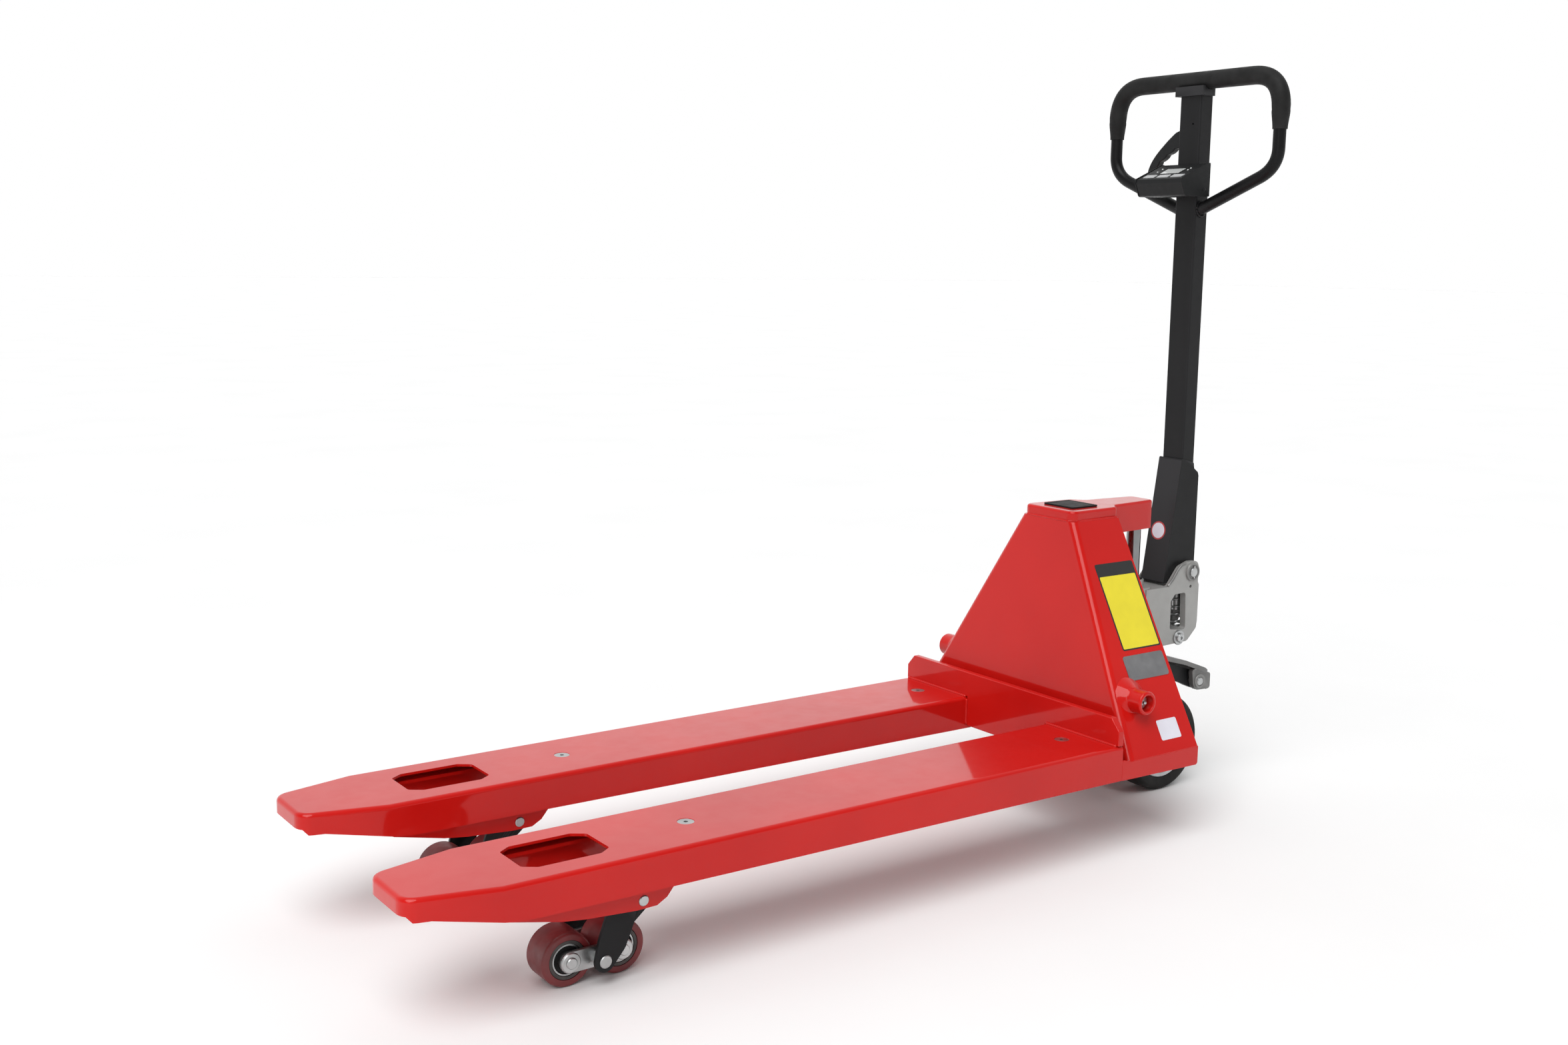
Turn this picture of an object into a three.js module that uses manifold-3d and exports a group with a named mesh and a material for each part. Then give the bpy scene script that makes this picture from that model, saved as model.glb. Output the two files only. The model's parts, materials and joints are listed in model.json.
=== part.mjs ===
// Weighing hand pallet truck, shown with its forks raised.
// Millimetres, +Z up. +X points to the fork tips, +Y to the truck's left seen from the handle.
// Shapes are laid out from the front face of the heel plate (X = 0), the floor (Z = 0) and the
// centre plane (Y = 0), and the whole group is then moved so that X = 0 is the middle of its length.
import * as THREE from "three";
import { ConvexGeometry } from "three/addons/geometries/ConvexGeometry.js";
import { mergeVertices } from "three/addons/utils/BufferGeometryUtils.js";
import Module from "manifold-3d";

const wasm = await Module();
wasm.setup();

// ---------------------------------------------------------------- driving dimensions

const GAP = 0.3; // clearance between pieces that touch
const SIDES = [["left", 1], ["right", -1]];

const FORKS = { width: 540, blade: 169, tip: 1222, rear: -12, top: 186.4, sheet: 4 };
const FORK_Y = (FORKS.width - FORKS.blade) / 2; // centre line of one fork
const TAPER = { start: 1098, end: 1203, noseHalf: 59.5, noseRadius: 26 };
const SKIRT = [[860, 133], [1068, 135.5], [1087, 138], [1187, 155], [1209, 155], [1216, 163]];
const SKIRT_HEEL = 127.5;
const OPENING = { rear: 919, front: 1049.5, half: 44.5, cornerX: 19, cornerY: 13 };
const SCREW_X = [45, 779];

const RAIL = { half: 67.5, wall: 5, top: 172, rear: -28, front: 1100, bottom: 124 };
const LOAD_PIN = { x: 886.6, z: 116, r: 7.5 }; // pivot of the load fork in the rail
const BOGIE_PIN = { x: 939, z: 38, r: 9 };
const ROLLER = { r: 38, half: 25, hub: 27.5, axle: 8, spacing: 80 };
const FORK_ARM = { inner: 50, outer: 56 };
const LINK = { inner: 28, outer: 34, r: 15 };

const HEEL = { thick: 12, top: 232, bottom: 133, cornerY: 17.6, cornerZ: 19.8 };
const TOWER = {
  rear: -197, base: 124, bend: 153.6, top: 523, wall: 6,
  frontAtBend: -30, frontLean: 0.146, halfAtBend: 270, halfLean: 0.558,
};
const SHAFT = { x: -83, z: 244, r: 12 }; // rocker shaft through the tower's bosses
const BOSS = { r: 20.4, flare: 28, face: 255 };
const HEAD = { top: 541, front: -86, frontHalf: 62, rearHalf: 58, neckHalf: 30, under: 489 };

const STEER_X = -308; // upright axis of ram, pump and steering column
const RAM = { r: 13, bottom: 370, travel: 92 };
const PUMP = { bottom: 262.3, top: 378, slot: 375, half: 38, boreR: 36, collarR: 22, collarTop: 393,
  presserDepth: 9 };
const PIVOT = { x: -430, z: 397.5, r: 9, end: 41.5 }; // handle pivot in the pump's ears
const PLUNGER = { x: -434, rod: 9, head: 16.5, top: 391, headBottom: 383, seat: 290, bore: 17.5 };
const SPRING = { radius: 12.7, wire: 1.9, turns: 6 }; // return spring round the plunger
const PRESSER = { x: PIVOT.x - 20, z: PIVOT.z + 6, r: 11 };
const RELEASE = { x: -459, z: 341 };
const COLUMN = { r: 18, half: 18 };
const WHEEL = { x: -335, r: 90, inner: 25, outer: 75, rim: 66, axle: 10 };
const THRUST = { rear: -471, half: 62, earInner: 50, pinX: -440, pinZ: 190, pinR: 8 };
const ROCKER_ARM = { inner: 34, outer: 46 };
const ROD = { z: 138.5, r: 8, rearX: -69, frontX: 898.6, pinR: 4.5, cheek: 9, cheekOuter: 14 };
// Play at the joints of the lifting linkage, which follow the lift at constant ratios.
const PLAY = { rockerSlot: 5, legHole: 1.4, lugIn: 3, lugOut: 1.6, lugHole: 1.4 };

const CLEVIS = { half: 27.5, inner: 24.3, top: 612, bottom: 380 };
const MAST = { front: -402, rear: -436, half: 24, bottom: 470, top: 1276, wall: 3 };
const LOOP = { x: -417, r: 11, half: 189, barZ: 1294.5, armZ: 1065, cornerZ: 1134.5 };
const GRIP = { r: 16, end: 1200 };
const INDICATOR = { half: 55, bottom: 1088, back: 1146, nose: 1117, noseX: -327 };
const TRIGGER = { y: -11, z: 1196, halfX: 7, pinR: 3.5 };

const CENTRE_X = (FORKS.tip + THRUST.rear) / 2;

// ---------------------------------------------------------------- materials

const finish = (color, roughness, metalness) =>
  new THREE.MeshStandardMaterial({ color, roughness, metalness });
const RED = finish(0xc81a16, 0.25, 0);
const BLACK = finish(0x1b1c1d, 0.5, 0);
const GREY = finish(0x6e7072, 0.5, 0.3);
const ZINC = finish(0xb9bcc0, 0.3, 1);
const CHROME = finish(0xd8dadd, 0.1, 1);
const RUBBER = finish(0x151515, 0.8, 0);
const TREAD = finish(0x7a1218, 0.45, 0);
const ALUMINIUM = finish(0xa8abae, 0.4, 1);
const SCREEN = finish(0xc9cdcb, 0.15, 0);
const KEY = finish(0xa9aaac, 0.5, 0);

// ---------------------------------------------------------------- shape helpers

// A closed geometry as a manifold-3d solid.
function solid(geometry) {
  const bare = geometry.clone();
  bare.deleteAttribute("normal");
  bare.deleteAttribute("uv");
  const merged = mergeVertices(bare, 1e-4);
  return new wasm.Manifold(new wasm.Mesh({
    numProp: 3,
    vertProperties: new Float32Array(merged.attributes.position.array),
    triVerts: new Uint32Array(merged.index.array),
  }));
}

// A manifold-3d solid as a geometry.
function geometryOf(shape) {
  const { numProp, numVert, vertProperties, triVerts } = shape.getMesh();
  const points = new Float32Array(numVert * 3);
  for (let i = 0; i < numVert; i++) {
    points.set(vertProperties.subarray(i * numProp, i * numProp + 3), i * 3);
  }
  return new THREE.BufferGeometry()
    .setAttribute("position", new THREE.BufferAttribute(points, 3))
    .setIndex(new THREE.BufferAttribute(new Uint32Array(triVerts), 1));
}

const join = (...shapes) => shapes.reduce((whole, next) => whole.add(next));
const cut = (whole, ...tools) => tools.reduce((rest, tool) => rest.subtract(tool), whole);

// A box between two values on each axis.
function box([x0, x1], [y0, y1], [z0, z1]) {
  const geometry = new THREE.BoxGeometry(x1 - x0, y1 - y0, z1 - z0);
  return solid(geometry.translate((x0 + x1) / 2, (y0 + y1) / 2, (z0 + z1) / 2));
}

const outline = (points) => new THREE.Shape(points.map(([a, b]) => new THREE.Vector2(a, b)));

function extruded(shape, depth, bevel = 0) {
  return new THREE.ExtrudeGeometry(shape, {
    depth: depth - 2 * bevel,
    curveSegments: 6,
    bevelEnabled: bevel > 0,
    bevelSize: bevel,
    bevelThickness: bevel,
    bevelOffset: -bevel,
    bevelSegments: 2,
  }).translate(0, 0, bevel);
}

// An outline drawn in XY (or XZ, or YZ) and given thickness along the third axis.
const plateZ = (shape, z0, z1, bevel = 0) =>
  solid(extruded(shape, z1 - z0, bevel).translate(0, 0, z0));
const plateY = (shape, y0, y1, bevel = 0) =>
  solid(extruded(shape, y1 - y0, bevel).rotateX(Math.PI / 2).translate(0, y1, 0));
function plateX(shape, x0, x1, bevel = 0) {
  const turn = new THREE.Matrix4().makeBasis(
    new THREE.Vector3(0, 1, 0), new THREE.Vector3(0, 0, 1), new THREE.Vector3(1, 0, 0));
  return solid(extruded(shape, x1 - x0, bevel).applyMatrix4(turn).translate(x0, 0, 0));
}

const hull = (points) => solid(new ConvexGeometry(points.map((p) => new THREE.Vector3(...p))));

// A round bar or disc between two points.
function bar(r, from, to, segments = 20, r2 = r) {
  const a = new THREE.Vector3(...from);
  const b = new THREE.Vector3(...to);
  const along = b.clone().sub(a);
  const geometry = new THREE.CylinderGeometry(r2, r, along.length(), segments);
  geometry.applyQuaternion(
    new THREE.Quaternion().setFromUnitVectors(new THREE.Vector3(0, 1, 0), along.normalize()));
  return solid(geometry.translate(...a.add(b).multiplyScalar(0.5).toArray()));
}
const barY = (r, x, z, y0, y1, segments) => bar(r, [x, y0, z], [x, y1, z], segments);
const barZ = (r, x, y, z0, z1, segments) => bar(r, [x, y, z0], [x, y, z1], segments);

// A flat link in XZ that wraps round discs [x, z, r], one after the other.
function link(discs, y0, y1, sides = 16) {
  const disc = ([x, z, r]) => Array.from({ length: sides }, (_, i) => {
    const a = (2 * Math.PI * i) / sides;
    return [x + r * Math.cos(a), z + r * Math.sin(a)];
  });
  const spans = discs.slice(1).map((next, i) =>
    hull([...disc(discs[i]), ...disc(next)].flatMap(([x, z]) => [[x, y0, z], [x, y1, z]])));
  return join(...spans);
}

// A ring turned about an axis along Y, from a profile of [radius, y] pairs.
function turnedY(profile, x, z, segments) {
  const closed = [...profile, profile[0]].map(([r, y]) => new THREE.Vector2(r, y));
  const geometry = new THREE.LatheGeometry(closed, segments);
  return solid(geometry.translate(x, 0, z));
}

// A round tube or rod swept along a path.
function swept(path, r, steps, sides) {
  const section = new THREE.Shape().absarc(0, 0, r, 0, 2 * Math.PI);
  return solid(new THREE.ExtrudeGeometry(section, {
    extrudePath: path, steps, curveSegments: sides,
  }));
}

const truck = new THREE.Group();
truck.position.x = -CENTRE_X;

function add(name, shape, material) {
  const mesh = new THREE.Mesh(geometryOf(shape), material);
  mesh.name = name;
  truck.add(mesh);
}

// ---------------------------------------------------------------- weigh platform

// Plan of one fork, drawn in by inset all round; the nose tapers and is rounded.
function forkPlan(y, inset) {
  const half = FORKS.blade / 2 - inset;
  const nose = TAPER.noseHalf - inset;
  const tip = FORKS.tip - inset;
  const r = TAPER.noseRadius;
  const shape = new THREE.Shape();
  shape.moveTo(FORKS.rear, y - half);
  shape.lineTo(TAPER.start, y - half);
  shape.lineTo(TAPER.end, y - nose);
  shape.quadraticCurveTo(tip, y - nose + r / 5, tip, y - nose + r);
  shape.lineTo(tip, y + nose - r);
  shape.quadraticCurveTo(tip, y + nose - r / 5, TAPER.end, y + nose);
  shape.lineTo(TAPER.start, y + half);
  shape.lineTo(FORKS.rear, y + half);
  return shape;
}

// A sheet-metal fork shell: open below and at the heel, with the roller opening in its top.
function forkShell(y) {
  const low = SKIRT_HEEL - 20;
  const outer = plateZ(forkPlan(y, 0), low - 10, FORKS.top, 5);
  const inner = plateZ(forkPlan(y, FORKS.sheet), low - 20, FORKS.top - FORKS.sheet, 3);
  const heelEnd = box([FORKS.rear - 10, FORKS.rear + 20],
    [y - FORKS.blade / 2 + FORKS.sheet, y + FORKS.blade / 2 - FORKS.sheet],
    [low - 20, FORKS.top - FORKS.sheet]);
  const noseZ = SKIRT.at(-1)[1];
  const below = plateY(outline([
    [FORKS.rear - 40, low - 40], [FORKS.rear - 40, SKIRT_HEEL], [FORKS.rear, SKIRT_HEEL],
    ...SKIRT, [FORKS.tip + 40, noseZ], [FORKS.tip + 40, low - 40],
  ]), y - 100, y + 100);
  const { rear, front, half, cornerX, cornerY } = OPENING;
  const window = plateZ(outline([
    [rear, y - half + cornerY], [rear + cornerX, y - half], [front - cornerX, y - half],
    [front, y - half + cornerY], [front, y + half - cornerY], [front - cornerX, y + half],
    [rear + cornerX, y + half], [rear, y + half - cornerY],
  ]), FORKS.top - 20, FORKS.top + 5);
  const holes = SCREW_X.map((x) => platformScrew(x, y, GAP));
  const heelStep = box([FORKS.rear - 10, 0.5], [y - FORKS.blade, y + FORKS.blade],
    [FORKS.top - 0.5, FORKS.top + 5]);
  return cut(outer, inner, heelEnd, below, window, heelStep, ...holes);
}

// A countersunk screw from the fork top down to a load cell; grow widens it into its own hole.
function platformScrew(x, y, grow = 0) {
  const top = FORKS.top - 0.4;
  const r = 6.5 + 1.5 * grow;
  const head = bar(r, [x, y, top - 5.5], [x, y, top + 2 * grow], 20, r + 5.5 + 2 * grow);
  return join(head, barZ(r, x, y, top - 7, top - 5, 20));
}

// A load cell under the fork top, with the screw that holds the shell to it.
function loadCell(x, y) {
  const block = box([x - 30, x + 30], [y - 16, y + 16],
    [RAIL.top + GAP, FORKS.top - FORKS.sheet - GAP]);
  return join(block, platformScrew(x, y));
}

// Plate welded across both forks at the heel, with the cross plate that hangs between them.
function heelPlate() {
  const half = FORKS.width / 2;
  const { thick, top, bottom, cornerY, cornerZ } = HEEL;
  const between = FORK_Y - FORKS.blade / 2 - GAP;
  return plateX(outline([
    [-between, bottom], [between, bottom], [between, FORKS.top + GAP], [half, FORKS.top + GAP],
    [half, top - cornerZ], [half - cornerY, top], [cornerY - half, top], [-half, top - cornerZ],
    [-half, FORKS.top + GAP], [-between, FORKS.top + GAP],
  ]), -thick, 0);
}

for (const [side, sign] of SIDES) {
  const y = sign * FORK_Y;
  add(`fork_shell_${side}`, forkShell(y), RED);
  SCREW_X.forEach((x, i) => {
    add(`load_cell_${side}_${["rear", "front"][i]}`, loadCell(x, y), ZINC);
  });
}
add("heel_plate", heelPlate(), RED);

// ---------------------------------------------------------------- chassis

// An inverted channel under each fork shell; its cheeks deepen round the load fork's pivot.
function forkRail(y) {
  const { half, wall, top, rear, front, bottom } = RAIL;
  const outer = plateY(outline([
    [rear, bottom], [838, bottom + 4], [850, 113.6], [866, 104.8], [897, 104.3], [973, 109.6],
    [1009, 114.3], [1087, 131.7], [front, 138], [front, top], [rear, top],
  ]), y - half, y + half);
  const hollow = box([rear - 10, front + 10], [y - half + wall, y + half - wall],
    [bottom - 40, top - wall]);
  const rollerBay = box([885, 1070], [y - 52, y + 52], [top - 20, top + 10]);
  const pinHole = barY(LOAD_PIN.r + GAP, LOAD_PIN.x, LOAD_PIN.z, y - half - 5, y + half + 5);
  return cut(outer, hollow, rollerBay, pinHole);
}

const towerFront = (z) => TOWER.frontAtBend - TOWER.frontLean * (z - TOWER.bend);
const towerHalf = (z) => TOWER.halfAtBend - TOWER.halfLean * (z - TOWER.bend);

// The leaning four-sided space of the tower between two heights, drawn in by inset.
function towerBlock(z0, z1, rear, inset) {
  const corners = (z) => {
    const half = towerHalf(z) - inset * Math.hypot(1, TOWER.halfLean);
    const front = towerFront(z) - inset * Math.hypot(1, TOWER.frontLean);
    return [[front, half, z], [front, -half, z], [rear, half, z], [rear, -half, z]];
  };
  return hull([...corners(z0), ...corners(z1)]);
}

// Folded tower: leaning front plate, two side plates with upright lower edges, open at the back.
function tower() {
  const { rear, base, bend, top, wall, halfAtBend } = TOWER;
  const body = cut(towerBlock(bend, top, rear, 0), towerBlock(bend - 10, top - wall, rear - 40, wall));
  const bands = SIDES.map(([, s]) => {
    const y = [s * halfAtBend, s * (halfAtBend - wall)].sort((a, b) => a - b);
    return box([rear, TOWER.frontAtBend - 8], y, [base, bend + 3]);
  });
  const bosses = SIDES.map(([, s]) => {
    const root = s * (towerHalf(SHAFT.z) - 4);
    return join(
      bar(BOSS.flare, [SHAFT.x, root, SHAFT.z], [SHAFT.x, s * (BOSS.face - 20), SHAFT.z], 32, BOSS.r),
      barY(BOSS.r, SHAFT.x, SHAFT.z, ...[root, s * BOSS.face].sort((a, b) => a - b), 32));
  });
  const bore = barY(SHAFT.r + GAP, SHAFT.x, SHAFT.z, -300, 300, 32);
  return cut(join(body, ...bands, ...bosses), bore);
}

// Cap on the tower and the neck that reaches back over the ram.
function headBracket() {
  const { top, front, frontHalf, rearHalf, neckHalf, under } = HEAD;
  const rear = TOWER.rear;
  const plan = new THREE.Shape();
  plan.moveTo(front, -frontHalf);
  plan.lineTo(front, frontHalf);
  plan.lineTo(rear, rearHalf);
  plan.lineTo(rear - 18, neckHalf + 8);
  plan.lineTo(STEER_X + 18, neckHalf);
  plan.absarc(STEER_X, 0, neckHalf, Math.PI / 2, 1.5 * Math.PI, false);
  plan.lineTo(STEER_X + 18, -neckHalf);
  plan.lineTo(rear - 18, -neckHalf - 8);
  plan.lineTo(rear, -rearHalf);
  const block = plateZ(plan, under, top, 4);
  return cut(block, box([rear - 1, front + 50], [-100, 100], [under - 10, TOWER.top + GAP]));
}

const headPad = () => box([-173, -110], [-36, 36], [HEAD.top + GAP, HEAD.top + 3]);

for (const [side, sign] of SIDES) {
  const y = sign * FORK_Y;
  const reach = RAIL.half + 1.5;
  add(`fork_rail_${side}`, forkRail(y), RED);
  add(`load_fork_pin_${side}`,
    barY(LOAD_PIN.r, LOAD_PIN.x, LOAD_PIN.z, y - reach, y + reach), ZINC);
}
add("tower", tower(), RED);
add("head_bracket", headBracket(), RED);
add("head_pad", headPad(), RUBBER);
add("rocker_shaft", barY(SHAFT.r, SHAFT.x, SHAFT.z, 6 - BOSS.face, BOSS.face - 6, 32), ZINC);
add("ram", barZ(RAM.r, STEER_X, 0, RAM.bottom, HEAD.under - GAP), CHROME);

// ---------------------------------------------------------------- lifting linkage

// Forged rocker: a tube on the shaft, two arms back to the thrust plate, two legs to the push rods.
function rocker() {
  const hub = [SHAFT.x, SHAFT.z, 22];
  const arm = outline([
    [-440, 173], [-425, 179], [-410, 186], [-350, 209], [-300, 222], [-240, 238], [-150, 239],
    [-83, 222], [-83, 266], [-150, 264], [-240, 260], [-256, 253], [-267, 243], [STEER_X, 242],
    [-350, 235], [-400, 221], [-440, 207], [-453, 200], [-456, 190], [-453, 180],
  ]);
  const parts = SIDES.flatMap(([, s]) => {
    const [y0, y1] = [s * ROCKER_ARM.inner, s * ROCKER_ARM.outer].sort((a, b) => a - b);
    const leg = s * FORK_Y;
    return [plateY(arm, y0, y1), link([hub, [ROD.rearX, ROD.z, 14]], leg - 7, leg + 7)];
  });
  const tube = barY(22, SHAFT.x, SHAFT.z, -198, 198, 32);
  const bore = barY(SHAFT.r + GAP, SHAFT.x, SHAFT.z, -250, 250, 32);
  const { pinX, pinZ, pinR } = THRUST;
  const armSlot = link([[pinX, pinZ, pinR + 0.8], [pinX + PLAY.rockerSlot, pinZ, pinR + 0.8]], -60, 60);
  const legHole = barY(ROD.pinR + PLAY.legHole, ROD.rearX, ROD.z, -230, 230);
  return cut(join(tube, ...parts), bore, armSlot, legHole);
}

// A push rod with a forked end and a pin at each end.
function pushRod(y) {
  const shaft = bar(ROD.r, [ROD.rearX + 30, y, ROD.z], [ROD.frontX - 30, y, ROD.z]);
  const ends = [[ROD.rearX, 1], [ROD.frontX, -1]].flatMap(([x, inward]) => {
    const foot = [x + inward * 20, x + inward * 36].sort((a, b) => a - b);
    const cheeks = SIDES.map(([, s]) => {
      const [y0, y1] = [s * ROD.cheek, s * ROD.cheekOuter].sort((a, b) => a - b);
      return link([[x, ROD.z, 10], [x + inward * 28, ROD.z, 8]], y + y0, y + y1);
    });
    const web = box(foot, [y - ROD.cheekOuter, y + ROD.cheekOuter], [ROD.z - 8, ROD.z + 8]);
    const pin = barY(ROD.pinR, x, ROD.z, y - ROD.cheekOuter, y + ROD.cheekOuter, 16);
    return [...cheeks, web, pin];
  });
  return join(shaft, ...ends);
}

// Load fork: a tube on the pivot pin, two flat arms down to the bogie and a lug for the push rod.
function loadFork(y) {
  const { x, z, r } = LOAD_PIN;
  const tube = barY(12, x, z, y - FORK_ARM.outer, y + FORK_ARM.outer);
  const arms = SIDES.map(([, s]) => {
    const [y0, y1] = [s * FORK_ARM.inner, s * FORK_ARM.outer].sort((a, b) => a - b);
    const discs = [[x, z, 20], [x + 26.5, z - 18, 23], [x + 40.5, z - 54, 22],
      [BOGIE_PIN.x, BOGIE_PIN.z, 15.5]];
    return link(discs, y + y0, y + y1, 20);
  });
  const lug = link([[x, z, 12], [ROD.frontX, ROD.z, 12]], y - 7, y + 7);
  const pivot = barY(r + GAP, x, z, y - 70, y + 70);
  const bogieHole = barY(BOGIE_PIN.r + GAP, BOGIE_PIN.x, BOGIE_PIN.z, y - 70, y + 70);
  const inward = new THREE.Vector2(x - ROD.frontX, z - ROD.z).normalize();
  const rodSlot = link([-PLAY.lugOut, PLAY.lugIn].map((reach) =>
    [ROD.frontX + reach * inward.x, ROD.z + reach * inward.y, ROD.pinR + PLAY.lugHole]), y - 20, y + 20);
  return cut(join(tube, ...arms, lug), pivot, bogieHole, rodSlot);
}

const axleX = [BOGIE_PIN.x + ROLLER.spacing / 2, BOGIE_PIN.x - ROLLER.spacing / 2];

// Bogie: two link plates, the two roller axles between them and a stub pin on each plate.
function bogie(y) {
  const plates = SIDES.flatMap(([, s]) => {
    const span = (a, b) => [y + s * a, y + s * b].sort((p, q) => p - q);
    const ends = axleX.map((x) => [x, BOGIE_PIN.z, LINK.r]);
    return [
      link(ends, ...span(LINK.inner, LINK.outer)),
      barY(BOGIE_PIN.r, BOGIE_PIN.x, BOGIE_PIN.z, ...span(LINK.inner, FORK_ARM.outer + 2)),
      ...axleX.map((x) => barY(14.5, x, BOGIE_PIN.z, ...span(LINK.inner, LINK.outer + 1.5), 16)),
    ];
  });
  const reach = LINK.outer + 4;
  const axles = axleX.map((x) => barY(ROLLER.axle, x, BOGIE_PIN.z, y - reach, y + reach, 16));
  return join(...plates, ...axles);
}

const ring = (rIn, rOut, half, edge, y) => [
  [rIn, y - half], [rOut - edge, y - half], [rOut, y - half + edge],
  [rOut, y + half - edge], [rOut - edge, y + half], [rIn, y + half],
];

function rollerHub(x, y) {
  const { half, hub, axle } = ROLLER;
  return turnedY([
    [axle + 0.4, y - half - 2], [13, y - half - 2], [13, y - half + 3], [hub, y - half + 1],
    [hub, y + half - 1], [13, y + half - 3], [13, y + half + 2], [axle + 0.4, y + half + 2],
  ], x, BOGIE_PIN.z, 24);
}

add("rocker_arm", rocker(), BLACK);
for (const [side, sign] of SIDES) {
  const y = sign * FORK_Y;
  add(`push_rod_${side}`, pushRod(y), ZINC);
  add(`load_fork_${side}`, loadFork(y), BLACK);
  add(`bogie_${side}`, bogie(y), ZINC);
  axleX.forEach((x, i) => {
    const end = ["front", "rear"][i];
    const tread = ring(ROLLER.hub + GAP, ROLLER.r, ROLLER.half, 3, y);
    add(`roller_tread_${side}_${end}`, turnedY(tread, x, BOGIE_PIN.z, 28), TREAD);
    add(`roller_hub_${side}_${end}`, rollerHub(x, y), GREY);
  });
}

// ---------------------------------------------------------------- pump unit and steering

// Thrust plate: a collar round the column, a sloping cover to the rear and two ears for the pin.
function thrustPlate() {
  const { rear, half, earInner, pinX, pinZ, pinR } = THRUST;
  const cover = plateY(outline([
    [-270, 255], [-308, 255], [-350, 249], [-400, 235], [-453, 215], [rear, 204.5], [rear, 171],
    [rear + 9, 171], [rear + 9, 198], [-450, 206], [-400, 226], [-350, 240], [-308, 246.5],
    [-270, 246.5],
  ]), -half, half);
  const ears = SIDES.map(([, s]) => {
    const [y0, y1] = [s * earInner, s * half].sort((a, b) => a - b);
    const edge = [[rear, 171], [rear, 204], [pinX + 12, 217]];
    const round = Array.from({ length: 16 }, (_, i) => {
      const a = (2 * Math.PI * i) / 16;
      return [pinX + 17 * Math.cos(a), pinZ + 17 * Math.sin(a)];
    });
    return hull([...edge, ...round].flatMap(([x, z]) => [[x, y0, z], [x, y1, z]]));
  });
  const hole = barZ(COLUMN.r + 0.5, STEER_X, 0, 240, 260, 32);
  return cut(join(cover, ...ears), hole, barY(pinR + GAP, pinX, pinZ, -80, 80));
}

// Pump casting: cylinder with its collar, plunger housing with a window through it, handle ears.
function pumpBody() {
  const { bottom, top, slot, half, boreR, collarR, collarTop } = PUMP;
  const { x, z, r } = PIVOT;
  const side = plateY(outline([
    [STEER_X, bottom], [-427, 265], [-448, 287], [-451, 300], [-451, slot - 4], [-449, slot],
    [-447, 383], [-451, z + 2], [-446, z + 15], [-436, z + 21], [-424, z + 21], [-414, z + 19],
    [-396, 411], [-368, slot], [STEER_X, slot],
  ]), -half, half, 2);
  const barrel = barZ(boreR, STEER_X, 0, bottom, top, 36);
  const collar = barZ(collarR, STEER_X, 0, top - 1, collarTop, 28);
  const clevisSlot = box([-480, STEER_X - boreR + 2], [-CLEVIS.half - 1, CLEVIS.half + 1],
    [slot, z + 40]);
  const presserRoom = box([-480, x + 4], [-CLEVIS.half - 1, CLEVIS.half + 1],
    [slot - PUMP.presserDepth, slot + 1]);
  const window = plateY(outline([[-419, 288], [-376, 293], [-376, 347], [-386, 359], [-415, 360]]),
    -half - 20, half + 20);
  const inside = box([-443, -388], [-25, 25], [PLUNGER.seat, 360]);
  return cut(join(cut(side, clevisSlot, presserRoom), barrel, collar), window, inside,
    barZ(PLUNGER.bore, PLUNGER.x, 0, PLUNGER.seat - 3, z, 28),
    barZ(RAM.r + 0.5, STEER_X, 0, RAM.bottom - RAM.travel - 2, collarTop + 10),
    barY(r + GAP, x, z, -60, 60));
}

function thrustBearing() {
  const whole = barZ(33, STEER_X, 0, 255 + GAP, PUMP.bottom - GAP, 32);
  return cut(whole, barZ(COLUMN.r + 0.5, STEER_X, 0, 250, 270, 32));
}

// Steering column below the pump, with the block that carries the wheel axle.
function steeringColumn() {
  const { r, half } = COLUMN;
  const stem = barZ(r, STEER_X, 0, 110, PUMP.bottom - GAP, 32);
  const block = plateY(outline([
    [WHEEL.x - 14, 72], [WHEEL.x + 14, 72], [STEER_X + r, 112], [STEER_X + r, 150],
    [STEER_X - r, 150], [WHEEL.x - 20, 112], [WHEEL.x - 20, 80],
  ]), -half, half);
  return cut(join(stem, block), barY(WHEEL.axle + GAP, WHEEL.x, WHEEL.r, -50, 50));
}

function wheelTyre(s) {
  const middle = (s * (WHEEL.inner + WHEEL.outer)) / 2;
  const half = (WHEEL.outer - WHEEL.inner) / 2;
  return turnedY(ring(WHEEL.rim + GAP, WHEEL.r, half, 10, middle), WHEEL.x, WHEEL.r, 32);
}

function wheelHub(s) {
  const y = (s * (WHEEL.inner + WHEEL.outer)) / 2;
  const { rim, axle } = WHEEL;
  return turnedY([
    [axle + 0.4, y - 24], [22, y - 24], [24, y - 10], [54, y - 10], [56, y - 23], [rim, y - 23],
    [rim, y + 23], [56, y + 23], [54, y + 10], [24, y + 10], [22, y + 24], [axle + 0.4, y + 24],
  ], WHEEL.x, WHEEL.r, 32);
}

function plunger() {
  const { x, rod, head, top, headBottom, seat } = PLUNGER;
  return join(barZ(rod, x, 0, seat + 28, headBottom + 1), barZ(head, x, 0, headBottom, top, 28));
}

// Return spring round the plunger.
class Helix extends THREE.Curve {
  constructor(radius, z0, z1, turns) {
    super();
    Object.assign(this, { radius, z0, z1, turns });
  }
  getPoint(t, target = new THREE.Vector3()) {
    const a = 2 * Math.PI * this.turns * t;
    return target.set(PLUNGER.x + this.radius * Math.cos(a), this.radius * Math.sin(a),
      this.z0 + (this.z1 - this.z0) * t);
  }
}
function plungerSpring() {
  const { radius, wire, turns } = SPRING;
  const path = new Helix(radius, PLUNGER.seat - 0.6, PLUNGER.headBottom - wire - 0.6, turns);
  return swept(path, wire, turns * 10, 3);
}

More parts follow.
